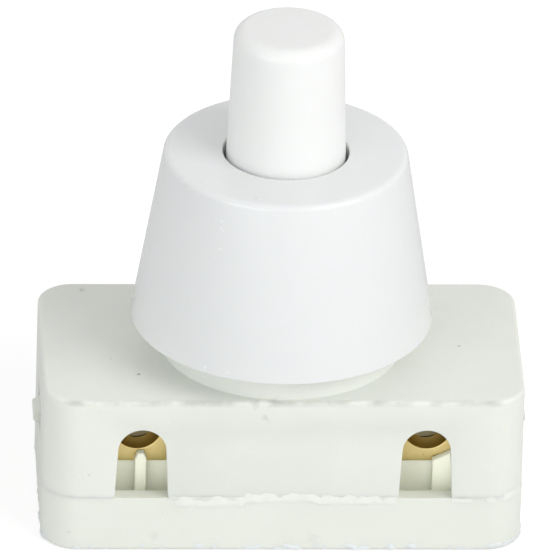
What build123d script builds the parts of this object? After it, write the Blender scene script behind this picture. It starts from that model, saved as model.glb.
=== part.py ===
from build123d import *
import os
from math import cos, radians, sin

# Push on, push off switch for a lamp base. Every size is in millimetres.
# X runs along the body, the two leads enter from -Y and the button points up, +Z.
# The origin is the middle of the body's underside.

os.makedirs("parts", exist_ok=True)

# Body: a housing and a base cover that close on each other at a seam
BODY_LENGTH = 29.5
BODY_DEPTH = 15.4
CORNER_RADIUS = 2.25
SEAM_HEIGHT = 3.7
WALL = 1.0
FLOOR = 1.2
ROOF = 1.3
EDGE_ROUND = 0.25
COVER_EDGE_ROUND = 0.3
INSIDE_LENGTH = BODY_LENGTH - 2 * WALL
INSIDE_DEPTH = BODY_DEPTH - 2 * WALL
INSIDE_CORNER = max(CORNER_RADIUS - WALL, 0.3)
FRONT = BODY_DEPTH / 2

# Clearances
RUNNING_GAP = 0.05
SEAT_GAP = 0.08
PRESS_GAP = 0.01

# Contacts and rotor, stacked up from the floor
CONTACT_PAD = 0.4
CONTACT_SHEET = 0.35
FIXED_RIVET_HEAD = 0.3
CONTACT_GAP = 0.05
MOVING_RIVET_HEAD = 0.3
BRIDGE_SHEET = 0.3
ROTOR_DISC = 1.0
PUSH_TRAVEL = 3.0
TOOTH_GAP = 0.08
FLANGE_THICKNESS = 0.95
STOP_GAP = 0.07
COLLAR_ROOF = 1.4
COLLAR_HEIGHT = 2.0

CONTACT_FOOT = FLOOR + CONTACT_PAD
CONTACT_TOP = CONTACT_FOOT + CONTACT_SHEET
FIXED_RIVET_TOP = CONTACT_TOP + FIXED_RIVET_HEAD
MOVING_RIVET_FOOT = FIXED_RIVET_TOP + CONTACT_GAP
BRIDGE_FOOT = MOVING_RIVET_FOOT + MOVING_RIVET_HEAD
DISC_FOOT = BRIDGE_FOOT + BRIDGE_SHEET
DISC_TOP = DISC_FOOT + ROTOR_DISC
CROWN_TIP = DISC_TOP + PUSH_TRAVEL + TOOTH_GAP
FLANGE_FOOT = CROWN_TIP + PUSH_TRAVEL
FLANGE_TOP = FLANGE_FOOT + FLANGE_THICKNESS
CHAMBER_TOP = FLANGE_TOP + STOP_GAP
COLLAR_TOP = CHAMBER_TOP + COLLAR_ROOF
BODY_HEIGHT = COLLAR_TOP - COLLAR_HEIGHT
ROOF_UNDERSIDE = BODY_HEIGHT - ROOF

# Ratchet: eight ramps on the rotor, and eight under the button's flange that turn it
TOOTH_COUNT = 8
TOOTH_INSET = 0.5
TOOTH_WIDTH = 1.8
DISC_MARGIN = 0.2
TOOTH_BACKLASH = 1.5
TOOTH_ROOT = 0.4
RAMP_STEPS = 4
TOOTH_ANGLE = 360 / TOOTH_COUNT

# Rotor, its steel pin and the brass cross below it
HUB_RADIUS = 2.0
HUB_STEP = 0.25
PIN_RADIUS = 0.95
PIN_DEPTH = 0.8
PIN_HEAD_ROOM = 2.0
PIN_CHAMFER = 0.24
PIN_BOSS_RADIUS = 1.8
BRIDGE_RING_RADIUS = 3.0
BRIDGE_ARM_REACH = 5.1
BRIDGE_ARM_WIDTH = 1.7
BRIDGE_ARMS = 4
PEG_RADIUS = 0.4
RIVET_CIRCLE = 4.25
RIVET_SHANK = 0.35
FIXED_RIVET_RADIUS = 0.8
MOVING_RIVET_RADIUS = 0.6
RIVET_CHAMFER = 0.15
HUB_FOOT = CONTACT_TOP + SEAT_GAP
HUB_TOP = DISC_TOP + HUB_STEP
PIN_FOOT = FLOOR - PIN_DEPTH
PIN_TOP = HUB_TOP + PIN_HEAD_ROOM

# Button: a hollow plunger with a round flange and two guide ears
BUTTON_RADIUS = 3.66
BUTTON_TAPER = 0.29
BUTTON_ABOVE_NUT = 8.38
BUTTON_ROUND = 0.8
BUTTON_CROWN_WALL = 2.2
BUTTON_CORE_RADIUS = 1.4
FLANGE_WIDTH = 1.34
EAR_WIDTH = 1.8
EAR_LENGTH = 1.2
SPRING_POCKET_DEPTH = 4.6
SPRING_SEAT = FLANGE_FOOT + SPRING_POCKET_DEPTH
BUTTON_TOP_RADIUS = BUTTON_RADIUS - BUTTON_TAPER
FLANGE_RADIUS = BUTTON_RADIUS + FLANGE_WIDTH
EAR_REACH = FLANGE_RADIUS + EAR_LENGTH
DISC_RADIUS = FLANGE_RADIUS + DISC_MARGIN
TOOTH_OUTER_RADIUS = FLANGE_RADIUS - TOOTH_INSET
TOOTH_INNER_RADIUS = TOOTH_OUTER_RADIUS - TOOTH_WIDTH

# Return spring, seated on a washer on top of the rotor
SPRING_RADIUS = 1.85
SPRING_WIRE = 0.44
SPRING_TURNS = 7.5
SPRING_SIDE_GAP = 0.28
SPRING_GRIND = 0.055
WASHER_THICKNESS = 0.2
WASHER_BORE = 1.1
WASHER_FOOT = HUB_TOP + RUNNING_GAP
SPRING_FOOT = WASHER_FOOT + WASHER_THICKNESS
BUTTON_BORE = SPRING_RADIUS + SPRING_WIRE / 2 + SPRING_SIDE_GAP

# Housing: the collar, the screwed neck and the barrel that guides the button
COLLAR_FOOT_RADIUS = 7.4
COLLAR_TOP_RADIUS = 6.75
NECK_RADIUS = 5.0
NECK_HEIGHT = 8.5
NECK_CHAMFER = 0.5
NECK_GAP = 0.14
BARREL_GAP = 0.5
BARREL_WALL = 1.25
NECK_BORE = BUTTON_RADIUS + NECK_GAP
NECK_TOP = COLLAR_TOP + NECK_HEIGHT
BARREL_RADIUS = FLANGE_RADIUS + BARREL_GAP

# Cone nut that clamps the lamp base against the collar
NUT_HEIGHT = 11.35
NUT_FOOT_RADIUS = 9.28
NUT_TOP_RADIUS = 7.46
NUT_HOLE_GAP = 0.21
NUT_TOP_WALL = 1.6
NUT_POCKET_ROOF = 3.2
NUT_WALL = 1.3
NUT_SLEEVE_WALL = 1.35
NUT_FOOT_ROUND = 0.12
NUT_TOP_ROUND = 0.35
NUT_POCKETS = 8
NUT_RIB_ANGLE = 7.0
NUT_FOOT = COLLAR_TOP + RUNNING_GAP
NUT_TOP = NUT_FOOT + NUT_HEIGHT
NUT_BORE = NECK_RADIUS + RUNNING_GAP
NUT_HOLE_RADIUS = BUTTON_RADIUS + NUT_HOLE_GAP
BUTTON_TOP = NUT_TOP + BUTTON_ABOVE_NUT

# Terminals: brass blocks beside the barrel, with a bore for the lead and a screw from below
BLOCK_SIDE_GAP = 0.15
BLOCK_WIDTH = 4.0
BLOCK_LENGTH = 7.0
BLOCK_SETBACK = 3.2
BLOCK_ABOVE_SEAM = 0.9
BLOCK_ROUND = 0.3
LEAD_BORE = 1.48
LEAD_BORE_CHAMFER = 0.12
BORE_FLOOR = 0.84
SCREW_SETBACK = 5.9
SCREW_SHANK = 1.25
SCREW_HEAD_RADIUS = 1.75
SCREW_HEAD_HEIGHT = 1.5
SCREW_HEAD_GAP = 0.7
SCREW_SLOT_WIDTH = 0.5
SCREW_SLOT_DEPTH = 0.7
SCREW_HEAD_ROOM = 0.1
SCREW_HEAD_CHAMFER = 0.19
SCREW_TIP_CHAMFER = 0.16
DRIVER_HOLE_RADIUS = 1.4
TERMINAL_X = BARREL_RADIUS + BARREL_WALL + BLOCK_SIDE_GAP + BLOCK_WIDTH / 2
BLOCK_FOOT = SEAM_HEIGHT + BLOCK_ABOVE_SEAM
BLOCK_TOP = ROOF_UNDERSIDE
BLOCK_FRONT = -FRONT + BLOCK_SETBACK
BLOCK_BACK = BLOCK_FRONT + BLOCK_LENGTH
LEAD_HEIGHT = BLOCK_FOOT + BORE_FLOOR + LEAD_BORE
SCREW_Y = -FRONT + SCREW_SETBACK
SCREW_HEAD_TOP = BLOCK_FOOT - SCREW_HEAD_GAP
SCREW_HEAD_FOOT = SCREW_HEAD_TOP - SCREW_HEAD_HEIGHT
SCREW_TIP = BLOCK_FOOT + BORE_FLOOR - PRESS_GAP

# Lead entries: arched slots in the front that the base cover closes from below
SLOT_OFFSET = 0.185
SLOT_FLARE = 0.17
LIP_CLEAR_OF_SLOT = 0.5
SLOT_X = TERMINAL_X - SLOT_OFFSET
SLOT_RADIUS = LEAD_BORE
SLOT_FOOT_HALF = SLOT_RADIUS + SLOT_FLARE

# Pocket ribs round each block, and the carrier that lifts it off the floor
POCKET_WALL = 0.7
CARRIER_SIDE = 0.6
CARRIER_RECESS = 0.1
CARRIER_BACK_WALL = 0.5
RIDGE_DEPTH = 0.5
LEFT_RIDGE_OFFSET = 0.23
LEFT_RIDGE_WIDTH = 0.72
LEFT_RIDGE_CROWN_WIDTH = 0.36
LEFT_RIDGE_SHOULDER = 0.38
LEFT_RIDGE_CROWN = 0.77
RIGHT_RIDGE_OFFSET = 1.05
RIGHT_RIDGE_WIDTH = 1.4
RIGHT_RIDGE_LOW = 0.27
RIGHT_RIDGE_HIGH = 0.95
CARRIER_INNER = TERMINAL_X - BLOCK_WIDTH / 2 - CARRIER_SIDE
CARRIER_OUTER = TERMINAL_X + BLOCK_WIDTH / 2 + CARRIER_SIDE
CARRIER_FRONT = BLOCK_FRONT + CARRIER_RECESS
CARRIER_BACK = SCREW_Y + SCREW_HEAD_RADIUS + SCREW_HEAD_ROOM + CARRIER_BACK_WALL

# Fixed contacts: a tab on the block's side and an arm that runs in under the cross
TAB_CLEAR_OF_CARRIER = 0.15
TAB_WIDTH = 1.7
TAB_HEIGHT = 6.6
ARM_FRONT = -1.1
ARM_PAST_RIVET = 0.95
TAB_FRONT = CARRIER_BACK + TAB_CLEAR_OF_CARRIER
TAB_BACK = TAB_FRONT + TAB_WIDTH
TAB_OUTER = TERMINAL_X - BLOCK_WIDTH / 2
TAB_INNER = TAB_OUTER - CONTACT_SHEET
ARM_INNER = RIVET_CIRCLE - ARM_PAST_RIVET

# Base cover's lip and the two snap arms that catch in the end walls
LIP_WALL = 0.7
LIP_HEIGHT = 0.75
LIP_ROOT = 0.8
SNAP_ARM = 0.95
SNAP_WIDTH = 2.0
SNAP_REACH = 0.4
SNAP_NOSE_FOOT = 1.65
SNAP_NOSE_HEIGHT = 1.0
SNAP_NOSE_CHAMFER = 0.15
WINDOW_WIDTH = 4.0
WINDOW_BELOW = 0.45
WINDOW_ABOVE = 0.85
NOSE_FOOT = SEAM_HEIGHT + SNAP_NOSE_FOOT
NOSE_TOP = NOSE_FOOT + SNAP_NOSE_HEIGHT

# The barrel and the ribs stop short of the base cover's highest parts
RIB_FOOT = BLOCK_FOOT + SEAT_GAP
SIDES = ((-1, "left"), (1, "right"))


def save(builder, name):
    """Labels a finished piece and writes it as its own file."""
    builder.part.label = name
    export_step(builder.part, f"parts/{name}.step")


def ramp_tooth(start, stop, foot_height, top_height):
    """One ratchet tooth, lofted through radial sections from angle start to stop.

    The two heights are functions of the angle. Both bound the section, so a
    sloping one makes a helical ramp.
    """
    width = TOOTH_OUTER_RADIUS - TOOTH_INNER_RADIUS
    middle = (TOOTH_OUTER_RADIUS + TOOTH_INNER_RADIUS) / 2
    with BuildPart() as tooth:
        for step in range(RAMP_STEPS + 1):
            angle = start + (stop - start) * step / RAMP_STEPS
            foot, top = foot_height(angle), top_height(angle)
            outward = (cos(radians(angle)), sin(radians(angle)), 0)
            centre = (middle * outward[0], middle * outward[1], (foot + top) / 2)
            onward = (-outward[1], outward[0], 0)
            with BuildSketch(Plane(origin=centre, x_dir=outward, z_dir=onward)):
                Rectangle(width, top - foot)
        loft(ruled=True)
    return tooth.part


def ramp_rise(angle):
    """How far a ramp has climbed at an angle, from nothing to the button's travel."""
    return PUSH_TRAVEL * angle / TOOTH_ANGLE


# Housing: five walls and a roof, with the collar, the neck and the inside ribs
with BuildPart() as housing:
    with BuildSketch(Plane.XY.offset(SEAM_HEIGHT)):
        RectangleRounded(BODY_LENGTH, BODY_DEPTH, CORNER_RADIUS)
    extrude(amount=BODY_HEIGHT - SEAM_HEIGHT)
    fillet(housing.edges().group_by(Axis.Z)[-1], EDGE_ROUND)
    with BuildSketch(Plane.XY.offset(SEAM_HEIGHT)):
        RectangleRounded(INSIDE_LENGTH, INSIDE_DEPTH, INSIDE_CORNER)
    extrude(amount=ROOF_UNDERSIDE - SEAM_HEIGHT, mode=Mode.SUBTRACT)
    # The barrel hangs from the roof round the rotor and the button's flange
    with BuildSketch(Plane.XY.offset(RIB_FOOT)):
        Circle(BARREL_RADIUS + BARREL_WALL)
    extrude(amount=ROOF_UNDERSIDE - RIB_FOOT)
    # An outer and a back rib hold each terminal block
    for side, _ in SIDES:
        rib_back = BLOCK_BACK + SEAT_GAP + POCKET_WALL
        rib_length = rib_back + INSIDE_DEPTH / 2
        rib_x = TERMINAL_X + BLOCK_WIDTH / 2 + SEAT_GAP + POCKET_WALL / 2
        with BuildSketch(Plane.XY.offset(RIB_FOOT)):
            with Locations((side * rib_x, rib_back - rib_length / 2)):
                Rectangle(POCKET_WALL, rib_length)
            with Locations((side * TERMINAL_X, rib_back - POCKET_WALL / 2)):
                Rectangle(BLOCK_WIDTH + 2 * SEAT_GAP + POCKET_WALL, POCKET_WALL)
        extrude(amount=ROOF_UNDERSIDE - RIB_FOOT)
    with BuildSketch(Plane.XZ):
        with BuildLine():
            Polyline(
                (0, ROOF_UNDERSIDE),
                (COLLAR_FOOT_RADIUS, ROOF_UNDERSIDE),
                (COLLAR_FOOT_RADIUS, BODY_HEIGHT),
                (COLLAR_TOP_RADIUS, COLLAR_TOP),
                (NECK_RADIUS, COLLAR_TOP),
                (NECK_RADIUS, NECK_TOP - NECK_CHAMFER),
                (NECK_RADIUS - NECK_CHAMFER, NECK_TOP),
                (0, NECK_TOP),
                close=True,
            )
        make_face()
    revolve(axis=Axis.Z)
    # The chamber stops the flange, and the bore above it guides the button
    with BuildSketch(Plane.XY.offset(RIB_FOOT)):
        Circle(BARREL_RADIUS)
    extrude(amount=CHAMBER_TOP - RIB_FOOT, mode=Mode.SUBTRACT)
    with BuildSketch(Plane.XY.offset(CHAMBER_TOP)):
        Circle(NECK_BORE)
    extrude(amount=NECK_TOP - CHAMBER_TOP, mode=Mode.SUBTRACT)
    # Grooves for the button's ears, front and back
    with BuildSketch(Plane.XY.offset(RIB_FOOT)):
        Rectangle(EAR_WIDTH + 2 * SEAT_GAP, 2 * (EAR_REACH + SEAT_GAP))
    extrude(amount=CHAMBER_TOP - RIB_FOOT, mode=Mode.SUBTRACT)
    # Slots in the barrel for the contact tabs, left and right
    for side, _ in SIDES:
        with BuildSketch(Plane.XY.offset(RIB_FOOT)):
            tab_x = side * (TAB_INNER - SEAT_GAP + TAB_OUTER) / 2
            with Locations((tab_x, (TAB_FRONT + TAB_BACK) / 2)):
                Rectangle(CONTACT_SHEET + SEAT_GAP, TAB_BACK - TAB_FRONT + 2 * SEAT_GAP)
        extrude(amount=ROOF_UNDERSIDE - RIB_FOOT, mode=Mode.SUBTRACT)
    # Arched lead slots, open down to the seam
    for side, _ in SIDES:
        with BuildSketch(Plane.XZ.offset(FRONT)):
            with BuildLine():
                foot_left = (side * SLOT_X - SLOT_FOOT_HALF, SEAM_HEIGHT)
                foot_right = (side * SLOT_X + SLOT_FOOT_HALF, SEAM_HEIGHT)
                arch_left = (side * SLOT_X - SLOT_RADIUS, LEAD_HEIGHT)
                arch_right = (side * SLOT_X + SLOT_RADIUS, LEAD_HEIGHT)
                Polyline(arch_left, foot_left, foot_right, arch_right)
                arch_crown = (side * SLOT_X, LEAD_HEIGHT + SLOT_RADIUS)
                ThreePointArc(arch_left, arch_crown, arch_right)
            make_face()
        extrude(amount=-WALL, mode=Mode.SUBTRACT)
        # Window in the end wall for the snap nose
        with BuildSketch(Plane.YZ.offset(side * BODY_LENGTH / 2)):
            with Locations((0, (NOSE_FOOT - WINDOW_BELOW + NOSE_TOP + WINDOW_ABOVE) / 2)):
                Rectangle(WINDOW_WIDTH, SNAP_NOSE_HEIGHT + WINDOW_BELOW + WINDOW_ABOVE)
        extrude(amount=-side * WALL, mode=Mode.SUBTRACT)
save(housing, "housing")

# Base cover: a floor with low walls, which carries the rotor pin and the terminals
with BuildPart() as base_cover:
    with BuildSketch():
        RectangleRounded(BODY_LENGTH, BODY_DEPTH, CORNER_RADIUS)
    extrude(amount=SEAM_HEIGHT)
    fillet(base_cover.edges().group_by(Axis.Z)[0], COVER_EDGE_ROUND)
    with BuildSketch(Plane.XY.offset(FLOOR)):
        RectangleRounded(INSIDE_LENGTH, INSIDE_DEPTH, INSIDE_CORNER)
    extrude(amount=SEAM_HEIGHT - FLOOR, mode=Mode.SUBTRACT)
    # The lip is rooted in the wall below the seam and stands free above it
    lip_length = INSIDE_LENGTH - 2 * SEAT_GAP
    lip_depth = INSIDE_DEPTH - 2 * SEAT_GAP
    with BuildSketch(Plane.XY.offset(SEAM_HEIGHT - LIP_ROOT)):
        RectangleRounded(INSIDE_LENGTH, INSIDE_DEPTH, INSIDE_CORNER)
        Rectangle(lip_length - 2 * LIP_WALL, lip_depth - 2 * LIP_WALL, mode=Mode.SUBTRACT)
    extrude(amount=LIP_ROOT)
    with BuildSketch(Plane.XY.offset(SEAM_HEIGHT)):
        RectangleRounded(lip_length, lip_depth, INSIDE_CORNER - SEAT_GAP)
        Rectangle(lip_length - 2 * LIP_WALL, lip_depth - 2 * LIP_WALL, mode=Mode.SUBTRACT)
    extrude(amount=LIP_HEIGHT)
    # The lip is left out behind the lead slots
    with BuildSketch(Plane.XY.offset(SEAM_HEIGHT - LIP_ROOT)):
        for side, _ in SIDES:
            with Locations((side * SLOT_X, -INSIDE_DEPTH / 2 + LIP_WALL)):
                Rectangle(2 * (SLOT_FOOT_HALF + LIP_CLEAR_OF_SLOT), 2 * LIP_WALL)
    extrude(amount=LIP_ROOT + LIP_HEIGHT, mode=Mode.SUBTRACT)
    # Carriers under the blocks, each with a chamber that keeps its screw captive
    for side, _ in SIDES:
        with BuildSketch(Plane.XY.offset(FLOOR)):
            with Locations((side * TERMINAL_X, (CARRIER_FRONT + CARRIER_BACK) / 2)):
                Rectangle(CARRIER_OUTER - CARRIER_INNER, CARRIER_BACK - CARRIER_FRONT)
        extrude(amount=BLOCK_FOOT - FLOOR)
    for side, _ in SIDES:
        with BuildSketch(Plane.XY.offset(SCREW_HEAD_FOOT - SCREW_HEAD_ROOM)):
            with Locations((side * TERMINAL_X, SCREW_Y)):
                Circle(SCREW_HEAD_RADIUS + SCREW_HEAD_ROOM)
        extrude(amount=BLOCK_FOOT, mode=Mode.SUBTRACT)
        with BuildSketch():
            with Locations((side * TERMINAL_X, SCREW_Y)):
                Circle(DRIVER_HOLE_RADIUS)
        extrude(amount=SCREW_HEAD_FOOT, mode=Mode.SUBTRACT)
    # A ridge up the front of each carrier keeps the block from sliding out. The left
    # one is narrow with a cropped top, and the right one is wide with a slanted top
    ridge_back = BLOCK_FRONT - SEAT_GAP
    left_x = LEFT_RIDGE_OFFSET - TERMINAL_X
    right_x = RIGHT_RIDGE_OFFSET + TERMINAL_X
    with BuildSketch(Plane.XZ.offset(RIDGE_DEPTH - ridge_back)):
        with BuildLine():
            Polyline(
                (left_x - LEFT_RIDGE_WIDTH / 2, FLOOR),
                (left_x - LEFT_RIDGE_WIDTH / 2, BLOCK_FOOT + LEFT_RIDGE_SHOULDER),
                (left_x - LEFT_RIDGE_CROWN_WIDTH / 2, BLOCK_FOOT + LEFT_RIDGE_CROWN),
                (left_x + LEFT_RIDGE_CROWN_WIDTH / 2, BLOCK_FOOT + LEFT_RIDGE_CROWN),
                (left_x + LEFT_RIDGE_WIDTH / 2, BLOCK_FOOT + LEFT_RIDGE_SHOULDER),
                (left_x + LEFT_RIDGE_WIDTH / 2, FLOOR),
                close=True,
            )
        make_face()
        with BuildLine():
            Polyline(
                (right_x - RIGHT_RIDGE_WIDTH / 2, FLOOR),
                (right_x - RIGHT_RIDGE_WIDTH / 2, BLOCK_FOOT + RIGHT_RIDGE_LOW),
                (right_x + RIGHT_RIDGE_WIDTH / 2, BLOCK_FOOT + RIGHT_RIDGE_HIGH),
                (right_x + RIGHT_RIDGE_WIDTH / 2, FLOOR),
                close=True,
            )
        make_face()
    extrude(amount=-RIDGE_DEPTH)
    # Each ridge is rooted in its carrier below the block
    with BuildSketch(Plane.XY.offset(FLOOR)):
        for ridge_x, ridge_width in ((left_x, LEFT_RIDGE_WIDTH), (right_x, RIGHT_RIDGE_WIDTH)):
            with Locations((ridge_x, (ridge_back + CARRIER_FRONT) / 2)):
                Rectangle(ridge_width, CARRIER_FRONT - ridge_back)
    extrude(amount=BLOCK_FOOT - FLOOR)
    # Pads under the fixed contacts, and the boss that holds the rotor pin
    with BuildSketch(Plane.XY.offset(FLOOR)):
        pad_length = CARRIER_INNER - ARM_INNER
        for side, _ in SIDES:
            with Locations((side * (ARM_INNER + pad_length / 2), (ARM_FRONT + TAB_BACK) / 2)):
                Rectangle(pad_length, TAB_BACK - ARM_FRONT)
    extrude(amount=CONTACT_PAD)
    with BuildSketch(Plane.XY.offset(FLOOR)):
        Circle(PIN_BOSS_RADIUS)
    extrude(amount=HUB_FOOT - SEAT_GAP - FLOOR)
    with BuildSketch(Plane.XY.offset(PIN_FOOT)):
        Circle(PIN_RADIUS + PRESS_GAP)
    extrude(amount=HUB_FOOT, mode=Mode.SUBTRACT)
    # Snap arms with hooked noses
    for side, _ in SIDES:
        arm_outer = INSIDE_LENGTH / 2 - SEAT_GAP
        nose_end = BODY_LENGTH / 2 + SNAP_REACH
        with BuildSketch(Plane.XZ.offset(SNAP_WIDTH / 2)):
            with BuildLine():
                Polyline(
                    (side * (arm_outer - SNAP_ARM), FLOOR),
                    (side * arm_outer, FLOOR),
                    (side * arm_outer, NOSE_FOOT),
                    (side * (nose_end - SNAP_NOSE_CHAMFER), NOSE_FOOT),
                    (side * nose_end, NOSE_FOOT + SNAP_NOSE_CHAMFER),
                    (side * nose_end, (NOSE_FOOT + NOSE_TOP) / 2),
                    (side * (BODY_LENGTH / 2 - SNAP_REACH), NOSE_TOP),
                    (side * (arm_outer - SNAP_ARM), NOSE_TOP),
                    close=True,
                )
            make_face()
        extrude(amount=-SNAP_WIDTH)
save(base_cover, "base_cover")

# Cone nut: a tapered shell round a screwed sleeve, ribbed on the inside
with BuildPart() as cone_nut:
    with BuildSketch(Plane.XZ):
        with BuildLine():
            Polyline(
                (NUT_BORE, NUT_FOOT),
                (NUT_FOOT_RADIUS, NUT_FOOT),
                (NUT_TOP_RADIUS, NUT_TOP),
                (NUT_HOLE_RADIUS, NUT_TOP),
                (NUT_HOLE_RADIUS, NUT_TOP - NUT_TOP_WALL),
                (NUT_BORE, NUT_TOP - NUT_TOP_WALL),
                close=True,
            )
        make_face()
    revolve(axis=Axis.Z)
    outer_rims = cone_nut.edges().filter_by(GeomType.CIRCLE).sort_by(SortBy.RADIUS)
    fillet(outer_rims[-1], NUT_FOOT_ROUND)
    top_rims = cone_nut.edges().filter_by(GeomType.CIRCLE).group_by(Axis.Z)[-1]
    fillet(top_rims.sort_by(SortBy.RADIUS)[-1], NUT_TOP_ROUND)
    pocket_inner = NUT_BORE + NUT_SLEEVE_WALL
    pocket_top = NUT_TOP - NUT_POCKET_ROOF
    nut_slope = (NUT_FOOT_RADIUS - NUT_TOP_RADIUS) / NUT_HEIGHT
    pocket_outer_top = NUT_FOOT_RADIUS - nut_slope * (pocket_top - NUT_FOOT) - NUT_WALL
    for pocket in range(NUT_POCKETS):
        turned = Plane.XZ.rotated((0, 0, pocket * 360 / NUT_POCKETS))
        with BuildSketch(turned):
            with BuildLine():
                Polyline(
                    (pocket_inner, NUT_FOOT),
                    (NUT_FOOT_RADIUS - NUT_WALL, NUT_FOOT),
                    (pocket_outer_top, pocket_top),
                    (pocket_inner, pocket_top),
                    close=True,
                )
            make_face()
        revolve(
            axis=Axis.Z,
            revolution_arc=360 / NUT_POCKETS - NUT_RIB_ANGLE,
            mode=Mode.SUBTRACT,
        )
save(cone_nut, "cone_nut")

# Push button: cap and plunger in one, with the driving crown under its flange
crown_tooth = ramp_tooth(
    TOOTH_BACKLASH,
    TOOTH_ANGLE,
    lambda angle: CROWN_TIP + ramp_rise(angle),
    lambda angle: FLANGE_FOOT + TOOTH_ROOT,
)
with BuildPart() as push_button:
    with BuildSketch(Plane.XZ):
        with BuildLine():
            Polyline(
                (BUTTON_BORE, FLANGE_FOOT),
                (FLANGE_RADIUS, FLANGE_FOOT),
                (FLANGE_RADIUS, FLANGE_TOP),
                (BUTTON_RADIUS, FLANGE_TOP),
                (BUTTON_RADIUS, NUT_TOP),
                (BUTTON_TOP_RADIUS, BUTTON_TOP),
                (0, BUTTON_TOP),
                (0, BUTTON_TOP - BUTTON_CROWN_WALL),
                (BUTTON_CORE_RADIUS, BUTTON_TOP - BUTTON_CROWN_WALL),
                (BUTTON_CORE_RADIUS, SPRING_SEAT),
                (BUTTON_BORE, SPRING_SEAT),
                close=True,
            )
        make_face()
    revolve(axis=Axis.Z)
    fillet(push_button.edges().group_by(Axis.Z)[-1], BUTTON_ROUND)
    # Ears that run in the barrel's grooves and keep the button from turning
    with BuildSketch(Plane.XY.offset(FLANGE_FOOT)):
        Rectangle(EAR_WIDTH, 2 * EAR_REACH)
        Circle(FLANGE_RADIUS - BARREL_WALL, mode=Mode.SUBTRACT)
    extrude(amount=FLANGE_THICKNESS)
    with PolarLocations(0, TOOTH_COUNT):
        add(crown_tooth)
save(push_button, "push_button")

# Return spring: an open coil with both ends ground flat
with BuildPart() as return_spring:
    with BuildLine() as coil:
        Helix(
            pitch=(SPRING_SEAT - SPRING_FOOT) / SPRING_TURNS,
            height=SPRING_SEAT - SPRING_FOOT,
            radius=SPRING_RADIUS,
            center=(0, 0, SPRING_FOOT),
        )
    with BuildSketch(Plane(coil.line @ 0, z_dir=coil.line % 0)):
        Circle(SPRING_WIRE / 2)
    sweep(is_frenet=True)
    split(bisect_by=Plane.XY.offset(SPRING_FOOT + SPRING_GRIND), keep=Keep.TOP)
    split(bisect_by=Plane.XY.offset(SPRING_SEAT - SPRING_GRIND), keep=Keep.BOTTOM)
save(return_spring, "return_spring")

# Spring washer: lets the rotor turn under the spring
with BuildPart() as spring_washer:
    with BuildSketch(Plane.XY.offset(WASHER_FOOT)):
        Circle(SPRING_RADIUS + SPRING_WIRE / 2 + RUNNING_GAP)
        Circle(WASHER_BORE, mode=Mode.SUBTRACT)
    extrude(amount=WASHER_THICKNESS)
save(spring_washer, "spring_washer")

# Rotor pin: steel, pressed into the base cover
with BuildPart() as rotor_pin:
    with BuildSketch(Plane.XY.offset(PIN_FOOT)):
        Circle(PIN_RADIUS)
    extrude(amount=PIN_TOP - PIN_FOOT)
    chamfer(rotor_pin.edges().group_by(Axis.Z)[-1], PIN_CHAMFER)
save(rotor_pin, "rotor_pin")

# Ratchet rotor: a disc with a hub and eight helical ramps
rotor_tooth = ramp_tooth(
    0,
    TOOTH_ANGLE - TOOTH_BACKLASH,
    lambda angle: DISC_TOP - TOOTH_ROOT,
    lambda angle: DISC_TOP + ramp_rise(angle),
)
with BuildPart() as ratchet_rotor:
    with BuildSketch(Plane.XY.offset(DISC_FOOT)):
        Circle(DISC_RADIUS)
    extrude(amount=ROTOR_DISC)
    with BuildSketch(Plane.XY.offset(HUB_FOOT)):
        Circle(HUB_RADIUS)
    extrude(amount=HUB_TOP - HUB_FOOT)
    # Pegs that turn the brass cross with the disc
    with BuildSketch(Plane.XY.offset(BRIDGE_FOOT)):
        with PolarLocations(BRIDGE_RING_RADIUS, BRIDGE_ARMS, start_angle=TOOTH_ANGLE):
            Circle(PEG_RADIUS)
    extrude(amount=BRIDGE_SHEET)
    with PolarLocations(0, TOOTH_COUNT):
        add(rotor_tooth)
    with BuildSketch(Plane.XY.offset(HUB_FOOT)):
        Circle(PIN_RADIUS + RUNNING_GAP)
    extrude(amount=HUB_TOP - HUB_FOOT, mode=Mode.SUBTRACT)
save(ratchet_rotor, "ratchet_rotor")

# Contact bridge: a flat brass cross that joins the two fixed contacts
with BuildPart() as contact_bridge:
    with BuildSketch(Plane.XY.offset(BRIDGE_FOOT)):
        Circle(BRIDGE_RING_RADIUS)
        with PolarLocations(BRIDGE_ARM_REACH / 2, BRIDGE_ARMS):
            Rectangle(BRIDGE_ARM_REACH, BRIDGE_ARM_WIDTH)
        Circle(HUB_RADIUS + RUNNING_GAP, mode=Mode.SUBTRACT)
        with PolarLocations(BRIDGE_RING_RADIUS, BRIDGE_ARMS, start_angle=TOOTH_ANGLE):
            Circle(PEG_RADIUS + RUNNING_GAP, mode=Mode.SUBTRACT)
        with PolarLocations(RIVET_CIRCLE, BRIDGE_ARMS):
            Circle(RIVET_SHANK + PRESS_GAP, mode=Mode.SUBTRACT)
    extrude(amount=BRIDGE_SHEET)
save(contact_bridge, "contact_bridge")

# Bridge contacts: four silver rivets, one in each arm of the cross
with BuildPart() as bridge_contacts:
    with BuildSketch(Plane.XY.offset(MOVING_RIVET_FOOT)):
        with PolarLocations(RIVET_CIRCLE, BRIDGE_ARMS):
            Circle(MOVING_RIVET_RADIUS)
    extrude(amount=MOVING_RIVET_HEAD)
    chamfer(bridge_contacts.edges().group_by(Axis.Z)[0], RIVET_CHAMFER)
    with BuildSketch(Plane.XY.offset(BRIDGE_FOOT)):
        with PolarLocations(RIVET_CIRCLE, BRIDGE_ARMS):
            Circle(RIVET_SHANK)
    extrude(amount=BRIDGE_SHEET)
save(bridge_contacts, "bridge_contacts")

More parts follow.
